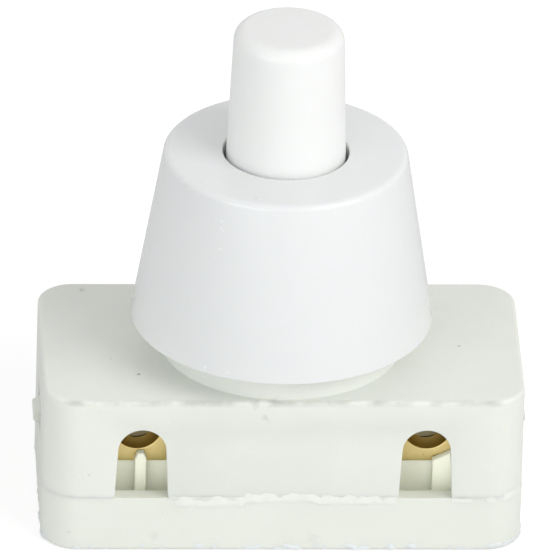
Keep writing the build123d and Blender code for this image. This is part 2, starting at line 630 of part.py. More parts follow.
for side, name in SIDES:
    # Fixed contact: brass strip, bent from a tab on the block to an arm on the floor
    with BuildPart() as fixed_contact:
        with BuildSketch(Plane.XY.offset(CONTACT_FOOT)):
            arm_length = CARRIER_INNER - SEAT_GAP - ARM_INNER
            with Locations((side * (ARM_INNER + arm_length / 2), (ARM_FRONT + TAB_BACK) / 2)):
                Rectangle(arm_length, TAB_BACK - ARM_FRONT)
            with Locations((side * (ARM_INNER + TAB_OUTER) / 2, (TAB_FRONT + TAB_BACK) / 2)):
                Rectangle(TAB_OUTER - ARM_INNER, TAB_BACK - TAB_FRONT)
            with Locations((side * RIVET_CIRCLE, 0)):
                Circle(RIVET_SHANK + PRESS_GAP, mode=Mode.SUBTRACT)
        extrude(amount=CONTACT_SHEET)
        with BuildSketch(Plane.XY.offset(CONTACT_FOOT)):
            with Locations((side * (TAB_INNER + TAB_OUTER) / 2, (TAB_FRONT + TAB_BACK) / 2)):
                Rectangle(CONTACT_SHEET, TAB_BACK - TAB_FRONT)
        extrude(amount=TAB_HEIGHT)
    save(fixed_contact, f"fixed_contact_{name}")

    # Contact rivet: the silver head that the cross lands on
    with BuildPart() as contact_rivet:
        with BuildSketch(Plane.XY.offset(CONTACT_FOOT)):
            with Locations((side * RIVET_CIRCLE, 0)):
                Circle(RIVET_SHANK)
        extrude(amount=CONTACT_SHEET)
        with BuildSketch(Plane.XY.offset(CONTACT_TOP)):
            with Locations((side * RIVET_CIRCLE, 0)):
                Circle(FIXED_RIVET_RADIUS)
        extrude(amount=FIXED_RIVET_HEAD)
        chamfer(contact_rivet.edges().group_by(Axis.Z)[-1], RIVET_CHAMFER)
    save(contact_rivet, f"contact_rivet_{name}")

    # Terminal block: extruded brass with the lead bore and a tapped hole below it
    with BuildPart() as terminal_block:
        with BuildSketch(Plane.XZ.offset(-BLOCK_FRONT)):
            with Locations((side * TERMINAL_X, (BLOCK_FOOT + BLOCK_TOP) / 2)):
                RectangleRounded(BLOCK_WIDTH, BLOCK_TOP - BLOCK_FOOT, BLOCK_ROUND)
            with Locations((side * TERMINAL_X, LEAD_HEIGHT)):
                Circle(LEAD_BORE, mode=Mode.SUBTRACT)
        extrude(amount=-BLOCK_LENGTH)
        front_edges = terminal_block.faces().sort_by(Axis.Y)[0].edges()
        chamfer(front_edges.filter_by(GeomType.CIRCLE).sort_by(SortBy.RADIUS)[-1], LEAD_BORE_CHAMFER)
        with BuildSketch(Plane.XY.offset(BLOCK_FOOT)):
            with Locations((side * TERMINAL_X, SCREW_Y)):
                Circle(SCREW_SHANK + RUNNING_GAP)
        extrude(amount=BORE_FLOOR + LEAD_BORE, mode=Mode.SUBTRACT)
    save(terminal_block, f"terminal_block_{name}")

    # Terminal screw: slotted head below, shank up through the block's floor
    with BuildPart() as terminal_screw:
        with BuildSketch(Plane.XY.offset(SCREW_HEAD_FOOT)):
            with Locations((side * TERMINAL_X, SCREW_Y)):
                Circle(SCREW_HEAD_RADIUS)
        extrude(amount=SCREW_HEAD_HEIGHT)
        chamfer(terminal_screw.edges().group_by(Axis.Z)[0], SCREW_HEAD_CHAMFER)
        with BuildSketch(Plane.XY.offset(SCREW_HEAD_TOP)):
            with Locations((side * TERMINAL_X, SCREW_Y)):
                Circle(SCREW_SHANK)
        extrude(amount=SCREW_TIP - SCREW_HEAD_TOP)
        chamfer(terminal_screw.edges().group_by(Axis.Z)[-1], SCREW_TIP_CHAMFER)
        with BuildSketch(Plane.XY.offset(SCREW_HEAD_FOOT)):
            with Locations((side * TERMINAL_X, SCREW_Y)):
                Rectangle(2 * SCREW_HEAD_RADIUS, SCREW_SLOT_WIDTH)
        extrude(amount=SCREW_SLOT_DEPTH, mode=Mode.SUBTRACT)
    save(terminal_screw, f"terminal_screw_{name}")
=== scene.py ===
# %% [markdown]
# # A push button lamp switch, dressed for its portrait
#
# The imported model is the frame. It holds every piece of the switch at its real size and place, and the
# bodies that those pieces move with. Nothing here moves or resizes it. What this file adds is the look:
# the moulded housing with its flash and its screw thread, the glossy cone nut, the satin button, the
# brass in the lead entries, and the materials of all that is inside.

# %% Load the frame and note the size of its box
import math

import bpy
from mathutils import Matrix, Vector


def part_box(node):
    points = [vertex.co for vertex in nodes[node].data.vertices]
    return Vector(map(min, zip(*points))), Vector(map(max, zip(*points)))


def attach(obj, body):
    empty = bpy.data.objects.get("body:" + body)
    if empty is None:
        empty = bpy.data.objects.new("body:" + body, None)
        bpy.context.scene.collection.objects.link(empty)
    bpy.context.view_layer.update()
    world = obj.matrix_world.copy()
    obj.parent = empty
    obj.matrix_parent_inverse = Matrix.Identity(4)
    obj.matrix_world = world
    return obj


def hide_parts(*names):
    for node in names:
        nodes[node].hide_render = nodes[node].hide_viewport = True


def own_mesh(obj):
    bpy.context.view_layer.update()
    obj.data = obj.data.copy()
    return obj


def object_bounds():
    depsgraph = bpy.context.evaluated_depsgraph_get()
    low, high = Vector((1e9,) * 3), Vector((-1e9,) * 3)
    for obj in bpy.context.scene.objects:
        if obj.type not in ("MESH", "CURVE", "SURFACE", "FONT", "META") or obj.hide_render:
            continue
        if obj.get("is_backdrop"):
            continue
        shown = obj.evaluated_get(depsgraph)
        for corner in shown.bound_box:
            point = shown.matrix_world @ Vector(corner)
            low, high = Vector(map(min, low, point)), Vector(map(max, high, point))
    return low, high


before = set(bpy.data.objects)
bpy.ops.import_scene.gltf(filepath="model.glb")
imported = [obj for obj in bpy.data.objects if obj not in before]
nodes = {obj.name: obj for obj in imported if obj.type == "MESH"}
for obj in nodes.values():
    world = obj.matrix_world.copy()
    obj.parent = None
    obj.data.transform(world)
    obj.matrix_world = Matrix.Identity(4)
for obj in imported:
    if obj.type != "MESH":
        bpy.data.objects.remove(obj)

cad_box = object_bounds()
print("nodes in the frame:", len(nodes))

# %% [markdown]
# ## Sizes
#
# Blender works in metres, and this switch is three centimetres long, so a value written in
# millimetres and multiplied by MM is easier to read. The outer sizes come from the frame's own boxes.
# Walls, radii and clearances are named once here, and every piece below is built from them.

# %% Sizes that come from the frame, and the walls between them
MM = 0.001
housing_low, housing_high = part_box("housing")
cover_low, cover_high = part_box("base_cover")
nut_low, nut_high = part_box("cone_nut")
button_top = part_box("push_button")[1].z
block_low, block_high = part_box("terminal_block_right")
screw_low, screw_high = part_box("terminal_screw_right")

HALF_LENGTH = housing_high.x
HALF_DEPTH = housing_high.y
SEAM = housing_low.z
NECK_TOP = housing_high.z
ROOF_UNDERSIDE = block_high.z
BODY_TOP = ROOF_UNDERSIDE + 1.3 * MM
CORNER_RADIUS = 2.25 * MM
WALL = 1.0 * MM
FLOOR = 1.2 * MM
SEAT_GAP = 0.08 * MM
OVERLAP = 0.2 * MM
FINE = 0.0005 * MM
HAIR = 0.001 * MM
print("body", round(2 * HALF_LENGTH / MM, 2), "by", round(2 * HALF_DEPTH / MM, 2), "mm, seam at",
      round(SEAM / MM, 2), "mm, top at", round(BODY_TOP / MM, 2), "mm")

# %% [markdown]
# ## The camera
#
# The photograph was taken from a little to the left and well above, with a long lens. Its place was
# found by fitting the outline of the body, the nut and the button, and it is written down here as a
# photographer would: how far round, how high, how far away, how the camera was rolled, and the lens.

# %% Place the camera
CAMERA_AZIMUTH = math.radians(-3.324)
CAMERA_ELEVATION = math.radians(28.308)
CAMERA_ROLL = math.radians(1.649)
CAMERA_DISTANCE = 1.2255
CAMERA_LENS = 1283.6
CAMERA_SIDE_STEP = -0.142 * MM
CAMERA_AIM_HEIGHT = 14.741 * MM

across = Vector((math.cos(CAMERA_AZIMUTH), math.sin(CAMERA_AZIMUTH), 0))
backward = Vector((
    math.sin(CAMERA_AZIMUTH) * math.cos(CAMERA_ELEVATION),
    -math.cos(CAMERA_AZIMUTH) * math.cos(CAMERA_ELEVATION),
    math.sin(CAMERA_ELEVATION),
))
upward = backward.cross(across)
rolled_across = math.cos(CAMERA_ROLL) * across + math.sin(CAMERA_ROLL) * upward
rolled_upward = math.cos(CAMERA_ROLL) * upward - math.sin(CAMERA_ROLL) * across

camera_data = bpy.data.cameras.new("portrait_camera")
camera_data.lens = CAMERA_LENS
camera_data.sensor_width = 36
camera_data.clip_start = 0.01
camera_data.clip_end = 10
camera = bpy.data.objects.new("portrait_camera", camera_data)
bpy.context.scene.collection.objects.link(camera)
camera_place = across * CAMERA_SIDE_STEP + Vector((0, 0, CAMERA_AIM_HEIGHT))
camera_place += backward * CAMERA_DISTANCE
camera_turn = Matrix((rolled_across, rolled_upward, backward)).transposed()
camera.matrix_world = Matrix.Translation(camera_place) @ camera_turn.to_4x4()
bpy.context.scene.camera = camera
print("camera stands at", [round(value, 4) for value in camera_place])

# %% [markdown]
# ## Helpers for modelling with operators
#
# An operator acts on whatever is selected, and loading the frame leaves its nodes selected. So each
# helper first deselects everything, then selects what it needs by place, never by a counted index.
# A new primitive gets its size and place at once, and both are applied to its mesh, because a
# finished piece stands at the origin with its place in its vertices, as the frame's own nodes do.


# %% Select, activate and place
def deselect_everything():
    active = bpy.context.view_layer.objects.active
    if active and active.mode != "OBJECT":
        bpy.ops.object.mode_set(mode="OBJECT")
    bpy.ops.object.select_all(action="DESELECT")


def activate(piece):
    deselect_everything()
    piece.select_set(True)
    bpy.context.view_layer.objects.active = piece


def settle(piece, name):
    """Names a new primitive and puts its place and size into its mesh."""
    piece.name = name
    piece.data.name = name
    bpy.ops.object.transform_apply(location=True, rotation=True, scale=True)
    return piece


def triangles(piece):
    return sum(len(face.vertices) - 2 for face in piece.data.polygons)


# %% Select parts of a mesh by their place
def choose(piece, mode, parts, wanted):
    """Opens a piece in edit mode with only those parts of its mesh selected that are wanted."""
    activate(piece)
    bpy.ops.object.mode_set(mode="EDIT")
    bpy.ops.mesh.select_mode(type=mode)
    bpy.ops.mesh.select_all(action="DESELECT")
    bpy.ops.object.mode_set(mode="OBJECT")
    for part in getattr(piece.data, parts):
        part.select = bool(wanted(part))
    bpy.ops.object.mode_set(mode="EDIT")


def ends(piece, edge):
    return [piece.data.vertices[index].co for index in edge.vertices]


def choose_edges(piece, wanted):
    """Selects the edges for which wanted(start, end) holds."""
    choose(piece, "EDGE", "edges", lambda edge: wanted(*ends(piece, edge)))


def delete_faces(piece, wanted):
    """Deletes the faces for which wanted(centre, normal) holds."""
    choose(piece, "FACE", "polygons", lambda face: wanted(face.center, face.normal))
    bpy.ops.mesh.delete(type="FACE")
    bpy.ops.object.mode_set(mode="OBJECT")


def bevel_edges(piece, wanted, width, segments):
    choose_edges(piece, wanted)
    bpy.ops.mesh.bevel(offset=width, offset_type="OFFSET", segments=segments, affect="EDGES")
    bpy.ops.object.mode_set(mode="OBJECT")


# %% [markdown]
# Four ways to start a piece cover almost everything on a moulded switch: a box, a box with rounded
# corners, a round bar, and a profile spun round an axis. The profile starts as one vertex that is
# extruded from point to point, just as it is drawn by hand, and the spin then closes it to a solid.


# %% Start a box, a rounded box or a bar
def start_box(name, low, high):
    deselect_everything()
    size = Vector(high) - Vector(low)
    bpy.ops.mesh.primitive_cube_add(size=1, location=(Vector(low) + Vector(high)) / 2, scale=size)
    return settle(bpy.context.object, name)


def start_side_box(name, side, low, high):
    """A box that is given for the right side, and mirrored where side is -1."""
    near, far = sorted((side * low[0], side * high[0]))
    return start_box(name, (near, *low[1:]), (far, *high[1:]))


def start_rounded_box(name, low, high, radius, segments=14):
    piece = start_box(name, low, high)
    upright = lambda start, end: abs(start.z - end.z) > 0.9 * (high[2] - low[2])
    bevel_edges(piece, upright, radius, segments)
    return piece


def start_bar(name, radius, low, high, place=(0, 0), steps=96):
    """An upright round bar from height low to height high."""
    deselect_everything()
    middle = (place[0], place[1], (low + high) / 2)
    bpy.ops.mesh.primitive_cylinder_add(
        vertices=steps, radius=radius, depth=high - low, location=middle
    )
    return settle(bpy.context.object, name)


# %% Start a lying rod
def start_rod(name, radius, front, back, middle, height, steps=64):
    """A round rod that lies along the depth, from front to back."""
    deselect_everything()
    bpy.ops.mesh.primitive_cylinder_add(
        vertices=steps, radius=radius, depth=back - front,
        location=(middle, (front + back) / 2, height), rotation=(math.pi / 2, 0, 0),
    )
    return settle(bpy.context.object, name)


# %% Start a profile and spin it
def start_profile(name, points):
    """A chain of edges through points: one vertex, extruded from each point to the next."""
    deselect_everything()
    bpy.ops.mesh.primitive_plane_add(size=MM, location=points[0])
    piece = settle(bpy.context.object, name)
    bpy.ops.object.mode_set(mode="EDIT")
    bpy.ops.mesh.select_mode(type="VERT")
    bpy.ops.mesh.select_all(action="SELECT")
    bpy.ops.mesh.merge(type="CENTER")
    for here, onward in zip(points, points[1:]):
        step = Vector(onward) - Vector(here)
        bpy.ops.mesh.extrude_region_move(TRANSFORM_OT_translate={"value": step})
    bpy.ops.mesh.select_all(action="SELECT")
    return piece


def close_up(piece):
    """Merges doubled vertices and points every face outwards."""
    bpy.ops.mesh.select_all(action="SELECT")
    bpy.ops.mesh.remove_doubles(threshold=FINE)
    bpy.ops.mesh.normals_make_consistent(inside=False)
    bpy.ops.object.mode_set(mode="OBJECT")
    return piece


def spin_profile(name, outline, steps=144, angle=2 * math.pi):
    """A solid turned from an outline of (radius, height) points round the upright axis."""
    piece = start_profile(name, [(radius, 0, height) for radius, height in outline])
    bpy.ops.mesh.spin(steps=steps, angle=angle, center=(0, 0, 0), axis=(0, 0, 1))
    return close_up(piece)


def extrude_outline(name, points, step):
    """A solid from a closed outline and the way it is extruded."""
    piece = start_profile(name, points)
    bpy.ops.mesh.edge_face_add()
    bpy.ops.mesh.extrude_region_move(TRANSFORM_OT_translate={"value": step})
    return close_up(piece)


# %% Copy and move
def copy_piece(piece, name, change):
    """A copy with a mesh of its own, in which the matrix change is applied."""
    twin = piece.copy()
    twin.data = piece.data.copy()
    twin.name = name
    twin.data.name = name
    twin.data.transform(change)
    bpy.context.scene.collection.objects.link(twin)
    return twin


def move(piece, offset):
    piece.data.transform(Matrix.Translation(offset))
    return piece


# %% Join and cut
def apply_modifier(piece, kind, **settings):
    """Adds a modifier, sets its properties and applies it to the mesh."""
    activate(piece)
    modifier = piece.modifiers.new(kind.lower(), kind)
    for key, value in settings.items():
        setattr(modifier, key, value)
    bpy.ops.object.modifier_apply(modifier=modifier.name)


def combine(piece, other, operation):
    """One solid from two. The other one is used up."""
    apply_modifier(piece, "BOOLEAN", object=other, operation=operation, solver="EXACT")
    bpy.data.objects.remove(other)
    return piece


def cut(piece, tool):
    return combine(piece, tool, "DIFFERENCE")


def join(piece, other):
    return combine(piece, other, "UNION")


# %% Hand a finished piece to its body
def dress(piece, material, body, slot, *replaced, smooth_below=32):
    """Gives a piece its material, the body that it moves with, and the nodes that it stands for."""
    activate(piece)
    bpy.ops.object.shade_smooth_by_angle(angle=math.radians(smooth_below))
    piece.data.materials.clear()
    piece.data.materials.append(material)
    deselect_everything()
    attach(piece, body)
    if replaced:
        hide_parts(*replaced)
    print(piece.name, "has", triangles(piece), "triangles and rides on", body)
    return piece


# %% [markdown]
# ## Node groups
#
# Moulded plastic is never one flat colour. Its surface is a little cloudy where the melt flowed, it
# carries a few dark specks of burnt resin, and it has a fine grain that breaks up the highlights.
# All the plastics here share that, so it is one node group with its strengths as inputs. It reads
# Object coordinates, which keeps the pattern fixed to the piece, and it puts out only a colour, a
# roughness and a height. The shader itself stays in each material.


# %% Helpers for wiring nodes
def fill(tree, node, inputs):
    """Gives a node's inputs their values, or links them to the sockets of other nodes."""
    for key, value in inputs.items():
        if isinstance(value, bpy.types.NodeSocket):
            tree.links.new(value, node.inputs[key])
        else:
            node.inputs[key].default_value = value


def wire(tree, kind, inputs=None, **settings):
    """Adds a node, sets its properties and fills or links its inputs."""
    node = tree.nodes.new(kind)
    for key, value in settings.items():
        setattr(node, key, value)
    fill(tree, node, inputs or {})
    return node


def maths(tree, operation, *values):
    """The result of a Math node that takes these values and sockets in order."""
    return wire(tree, "ShaderNodeMath", dict(enumerate(values)), operation=operation).outputs[0]


def vector_maths(tree, operation, *values):
    return wire(tree, "ShaderNodeVectorMath", dict(enumerate(values)), operation=operation)


def mix_colors(tree, share, first, second):
    """The colour first, with a share of the colour second laid over it."""
    inputs = {"Factor": share, 6: first, 7: second}
    return wire(tree, "ShaderNodeMix", inputs, data_type="RGBA").outputs[2]


def between(tree, value, low, high, at_low=0.0, at_high=1.0):
    """A value taken from the range low to high, and put in the range at_low to at_high."""
    return wire(tree, "ShaderNodeMapRange", {
        "Value": value, "From Min": low, "From Max": high, "To Min": at_low, "To Max": at_high,
    }).outputs["Result"]


def noise(tree, place, scale, detail, roughness=0.5, distortion=0.0):
    return wire(tree, "ShaderNodeTexNoise", {
        "Vector": place, "Scale": scale, "Detail": detail,
        "Roughness": roughness, "Distortion": distortion,
    }).outputs["Fac"]


def start_group(name, inputs, outputs):
    """An empty node group with named sockets, the sockets it is given, its end node and the place."""
    tree = bpy.data.node_groups.new(name, "ShaderNodeTree")
    for label, value in inputs.items():
        kind = "Float" if isinstance(value, float) else {3: "Vector", 4: "Color"}[len(value)]
        socket = tree.interface.new_socket(label, in_out="INPUT", socket_type=f"NodeSocket{kind}")
        socket.default_value = value
    for label in outputs:
        kind = "Color" if label == "Color" else "Float"
        tree.interface.new_socket(label, in_out="OUTPUT", socket_type=f"NodeSocket{kind}")
    given = tree.nodes.new("NodeGroupInput").outputs
    place = wire(tree, "ShaderNodeTexCoord").outputs["Object"]
    return tree, given, tree.nodes.new("NodeGroupOutput"), place


# %% Build the moulded plastic group
moulding_group, given, handed_out, place = start_group("moulded_plastic", {
    "Base Color": (0.8, 0.8, 0.8, 1),
    "Flow Color": (0.7, 0.7, 0.7, 1),
    "Flow Amount": 0.5,
    "Speck Color": (0.2, 0.18, 0.15, 1),
    "Speck Size": 0.05,
    "Roughness": 0.4,
    "Roughness Change": 0.1,
    "Grain Depth": 0.5,
}, ["Color", "Roughness", "Height"])
SPECK_CHANCE = 0.72
flow = noise(moulding_group, place, 240, 4, 0.55, 0.6)
flow_mask = between(moulding_group, flow, 0.35, 0.75)
flow_share = maths(moulding_group, "MULTIPLY", flow_mask, given["Flow Amount"])
clouded = mix_colors(moulding_group, flow_share, given["Base Color"], given["Flow Color"])
specks = wire(moulding_group, "ShaderNodeTexVoronoi", {"Vector": place, "Scale": 330}).outputs
speck_pick = wire(moulding_group, "ShaderNodeSeparateColor", {"Color": specks["Color"]}).outputs
speck_reach = maths(moulding_group, "MULTIPLY", speck_pick["Red"], given["Speck Size"])
speck_mask = maths(moulding_group, "LESS_THAN", specks["Distance"], speck_reach)
speck_rare = maths(moulding_group, "GREATER_THAN", speck_pick["Green"], SPECK_CHANCE)
speck_share = maths(moulding_group, "MULTIPLY", speck_mask, speck_rare)
grain = noise(moulding_group, place, 5200, 3, 0.6)
grain_height = maths(moulding_group, "MULTIPLY", grain, given["Grain Depth"])
wave = noise(moulding_group, place, 420, 2)
fill(moulding_group, handed_out, {
    "Color": mix_colors(moulding_group, speck_share, clouded, given["Speck Color"]),
    "Roughness": maths(
        moulding_group, "MULTIPLY_ADD", flow, given["Roughness Change"], given["Roughness"]
    ),
    "Height": maths(moulding_group, "ADD", wave, grain_height),
})
print("group", moulding_group.name, "has", len(moulding_group.nodes), "nodes")

# %% [markdown]
# This particular switch also carries a few marks of its own: a dark speck here, a grey smudge there. Each
# one is a small soft blot round a point on the surface. Some blots are painted light instead: the white
# glints on the nut are painted highlights, and the grey blots on the housing's top front edge are painted
# shade. A group makes one blot over a colour, and a material chains as many as it needs, each with its
# own place, size and strength.

# %% Build the blot group
MARK_INPUTS = {
    "Color": (0.8, 0.8, 0.8, 1),
    "Mark Color": (0.4, 0.4, 0.38, 1),
    "Middle": (0, 0, 0),
    "Radius": 0.0001,
    "Strength": 0.5,
}
BLOT_CORE = 0.3
blot_group, given, handed_out, place = start_group("blot", MARK_INPUTS, ["Color"])
blot_reach = vector_maths(blot_group, "DISTANCE", place, given["Middle"]).outputs["Value"]
raggedness = maths(blot_group, "MULTIPLY_ADD", noise(blot_group, place, 3200, 3), 3.0, -0.6)
blot_size = maths(blot_group, "MULTIPLY", given["Radius"], raggedness)
blot_core = maths(blot_group, "MULTIPLY", blot_size, BLOT_CORE)
blot_mask = between(blot_group, blot_reach, blot_core, blot_size, 1.0, 0.0)
blot_share = maths(blot_group, "MULTIPLY", blot_mask, given["Strength"])
fill(blot_group, handed_out, {
    "Color": mix_colors(blot_group, blot_share, given["Color"], given["Mark Color"]),
})

# %% [markdown]
# A second group lays a patchy darker band along a line that runs the length of the switch, at a given
# depth and height, so the distance is measured without its part along the length. Along the housing's top
# front edge the band is painted shade; along the seam it darkens the joint and paints the shade under the
# flash.

# %% Build the dark line group
darkening_group, given, handed_out, place = start_group("dark_line", MARK_INPUTS, ["Color"])
off_middle = vector_maths(darkening_group, "SUBTRACT", place, given["Middle"]).outputs[0]
off_line = vector_maths(darkening_group, "MULTIPLY", off_middle, (0, 1, 1)).outputs[0]
line_reach = vector_maths(darkening_group, "LENGTH", off_line).outputs["Value"]
line_fade = between(darkening_group, line_reach, 0.0, given["Radius"], 1.0, 0.0)
line_mask = between(darkening_group, noise(darkening_group, place, 700, 6), 0.38, 0.62)
line_there = maths(darkening_group, "MULTIPLY", line_fade, line_mask)
line_share = maths(darkening_group, "MULTIPLY", line_there, given["Strength"])
fill(darkening_group, handed_out, {
    "Color": mix_colors(darkening_group, line_share, given["Color"], given["Mark Color"]),
})


# %% Chain marks after a colour, and finish a material
def add_marks(tree, color, group, marks):
    """Chains marks of (place in mm, radius in mm, colour, strength) after a colour."""
    for middle, radius, mark_color, strength in marks:
        color = wire(tree, "ShaderNodeGroup", {
            "Color": color, "Mark Color": (*mark_color, 1), "Radius": radius * MM,
            "Middle": [value * MM for value in middle], "Strength": strength,
        }, node_tree=group).outputs["Color"]
    return color


def start_material(name, group, group_inputs, depth, shader_inputs, blots=(), lines=()):
    """A material with one group's colour, roughness and height, the height raised by depth."""
    material = bpy.data.materials.new(name)
    material.use_nodes = True
    tree = material.node_tree
    marks = wire(tree, "ShaderNodeGroup", group_inputs, node_tree=group).outputs
    bump = wire(tree, "ShaderNodeBump", {
        "Height": marks["Height"], "Distance": depth, "Strength": 1.0,
    })
    blotted = add_marks(tree, marks["Color"], blot_group, blots)
    fill(tree, tree.nodes["Principled BSDF"], {
        "Base Color": add_marks(tree, blotted, darkening_group, lines),
        "Roughness": marks["Roughness"],
        "Normal": bump.outputs["Normal"],
        **shader_inputs,
    })
    return material


# %% [markdown]
# The marks are placed one by one on the four pieces that the camera sees. Soot is a burnt speck and a
# smudge is a grey touch. A glint is a painted highlight, one of the tiny light points on the nut's glossy
# slope, and the grey blots and the dark line along the housing's top front edge are painted shade.

# %% Marks on the plastics
SOOT = (0.12, 0.11, 0.1)
# Grey for real smudges, and for the painted shade on the housing's top front edge.
GREY_SMUDGE_AND_SHADE = (0.45, 0.46, 0.43)
GLINT = (1.0, 1.0, 1.0)
# Grey for the dark lines: painted shade along the top front edge, and the darker seam.
LINE_GREY = (0.5, 0.51, 0.47)

housing_blots = [
    ((-8.87, -4.10, 10.4), 0.16, SOOT, 0.75),
    ((-10.51, -2.18, 10.4), 0.08, SOOT, 0.45),
    ((-11.98, 6.72, 10.4), 0.4, GREY_SMUDGE_AND_SHADE, 0.5),
    ((10.97, -0.46, 10.4), 0.13, SOOT, 0.4),
    ((-12.62, -7.7, 4.97), 0.1, GREY_SMUDGE_AND_SHADE, 0.3),
    ((-12.3, -7.7, 5.1), 0.1, GREY_SMUDGE_AND_SHADE, 0.3),
    ((-11.95, -7.7, 5.3), 0.1, GREY_SMUDGE_AND_SHADE, 0.3),
    ((-14.0, -7.7, 9.45), 0.12, GREY_SMUDGE_AND_SHADE, 0.4),
    # These two grey blots on the top front edge are painted shade.
    ((-1.9, -7.6, 10.35), 0.4, GREY_SMUDGE_AND_SHADE, 0.35),
    ((-0.7, -7.6, 10.35), 0.5, GREY_SMUDGE_AND_SHADE, 0.35),
    ((-1.2, -7.7, 9.3), 0.3, GREY_SMUDGE_AND_SHADE, 0.3),
]
# The first line is painted shade along the top front edge. The second darkens the seam: partly the joint,
# partly painted shade under the flash.
housing_lines = [((0, -7.62, 10.3), 0.3, LINE_GREY, 0.75), ((0, -7.7, 3.75), 0.22, LINE_GREY, 0.35)]
cover_blots = [
    ((-13.1, -7.7, 1.25), 0.2, GREY_SMUDGE_AND_SHADE, 0.35),
    ((12.45, -7.7, 3.52), 0.08, SOOT, 0.5),
    ((14.37, -7.2, 3.03), 0.07, SOOT, 0.3),
    ((-7.9, -7.7, 1.0), 0.35, GREY_SMUDGE_AND_SHADE, 0.12),
    ((1.9, -7.7, 0.9), 0.6, GREY_SMUDGE_AND_SHADE, 0.12),
]
# One soot speck, then white glints: painted highlights on the nut's glossy slope.
nut_speck_and_glints = [
    ((-2.11, -6.27, 23.8), 0.1, SOOT, 0.35),
    ((-5.05, -7.72, 12.80), 0.16, GLINT, 0.80),
    ((-4.16, -6.48, 22.32), 0.12, GLINT, 0.70),
    ((-4.25, -6.76, 20.53), 0.11, GLINT, 0.60),
    ((-4.21, -6.53, 21.86), 0.10, GLINT, 0.50),
    ((-4.09, -6.64, 21.71), 0.10, GLINT, 0.50),
    ((-3.71, -8.44, 12.84), 0.11, GLINT, 0.60),
    ((-4.51, -6.25, 22.26), 0.09, GLINT, 0.45),
    ((-4.54, -6.71, 19.81), 0.09, GLINT, 0.40),
    ((-3.57, -7.35, 19.33), 0.09, GLINT, 0.40),
    ((-4.54, -6.67, 20.00), 0.08, GLINT, 0.35),
    ((-4.05, -6.37, 23.23), 0.08, GLINT, 0.35),
    ((-5.67, -7.32, 12.58), 0.08, GLINT, 0.30),
    ((-4.33, -8.16, 12.69), 0.08, GLINT, 0.30),
]


# %% Materials of moulded plastic
GLOW_DEPTH = 0.5 * MM


def moulded_plastic(name, base, flow_color, flow_amount, speck_size, roughness, grain, depth,
                    glow, coat=0.0, **marks):
    """A plastic of the group's colours. glow is how far light soaks in, as a share."""
    return start_material(name, moulding_group, {
        "Base Color": (*base, 1), "Flow Color": (*flow_color, 1), "Flow Amount": flow_amount,
        "Speck Size": speck_size, "Roughness": roughness, "Grain Depth": grain,
    }, depth, {
        "IOR": 1.5, "Subsurface Weight": glow, "Subsurface Radius": (1.0, 0.97, 0.7),
        "Subsurface Scale": GLOW_DEPTH, "Coat Weight": coat, "Coat Roughness": 0.08,
    }, **marks)


housing_plastic = moulded_plastic(
    "housing_plastic", (0.85, 0.87, 0.81), (0.79, 0.82, 0.76), 0.5, 0.09, 0.42, 0.35, 0.006 * MM, 0.3,
    blots=housing_blots, lines=housing_lines,
)
cover_plastic = moulded_plastic(
    "cover_plastic", (0.85, 0.87, 0.80), (0.79, 0.82, 0.74), 0.5, 0.09, 0.45, 0.35, 0.006 * MM, 0.3,
    blots=cover_blots,
)
flash_plastic = moulded_plastic(
    "flash_plastic", (0.87, 0.89, 0.83), (0.84, 0.86, 0.81), 0.5, 0.04, 0.5, 0.35, 0.004 * MM, 0.0
)
# Painted shade: a darker, bluish copy of the cover's plastic, for the rounding of the foot that faces
# down.
shaded_foot_plastic = moulded_plastic(
    "shaded_foot_plastic", (0.80, 0.83, 0.84), (0.76, 0.79, 0.80), 0.5, 0.04, 0.5, 0.35, 0.004 * MM, 0.0
)
nut_plastic = moulded_plastic(
    "nut_plastic", (0.86, 0.87, 0.87), (0.83, 0.845, 0.85), 0.4, 0.03, 0.2, 0.1, 0.002 * MM, 0.2, 0.4,
    blots=nut_speck_and_glints,
)
button_plastic = moulded_plastic(
    "button_plastic", (0.93, 0.94, 0.92), (0.91, 0.92, 0.90), 0.4, 0.02, 0.3, 0.15, 0.003 * MM, 0.3, 0.1
)
rotor_plastic = moulded_plastic(
    "rotor_plastic", (0.78, 0.76, 0.68), (0.70, 0.67, 0.58), 0.5, 0.05, 0.45, 0.3, 0.005 * MM, 0.15
)

# %% [markdown]
# ## Metals
#
# Brass from a drawn bar has fine lines along its length, a slightly duller cast where it was
# touched, and tiny dark pits. Plated screws and drawn wire want the same treatment in other colours,
# so this is a second group. The lines are noise stretched along one axis of the Object coordinates.

# %% Build the worked metal group
metal_group, given, handed_out, place = start_group("worked_metal", {
    "Base Color": (0.8, 0.6, 0.3, 1),
    "Tarnish Color": (0.5, 0.35, 0.15, 1),
    "Tarnish Amount": 0.4,
    "Line Stretch": (1, 0.05, 1),
    "Pit Size": 0.05,
    "Roughness": 0.3,
}, ["Color", "Roughness", "Height"])
PIT_COLOR = (0.08, 0.06, 0.03, 1)
stretched = vector_maths(metal_group, "MULTIPLY", place, given["Line Stretch"]).outputs[0]
drawn_lines = noise(metal_group, stretched, 9000, 3, 0.7)
tarnish_mask = between(metal_group, noise(metal_group, place, 500, 5), 0.42, 0.72)
tarnish_share = maths(metal_group, "MULTIPLY", tarnish_mask, given["Tarnish Amount"])
dulled = mix_colors(metal_group, tarnish_share, given["Base Color"], given["Tarnish Color"])
pits = wire(metal_group, "ShaderNodeTexVoronoi", {"Vector": place, "Scale": 900}).outputs
pit_mask = maths(metal_group, "LESS_THAN", pits["Distance"], given["Pit Size"])
fill(metal_group, handed_out, {
    "Color": mix_colors(metal_group, pit_mask, dulled, PIT_COLOR),
    "Roughness": maths(metal_group, "MULTIPLY_ADD", drawn_lines, 0.18, given["Roughness"]),
    "Height": drawn_lines,
})
print("group", metal_group.name, "has", len(metal_group.nodes), "nodes")


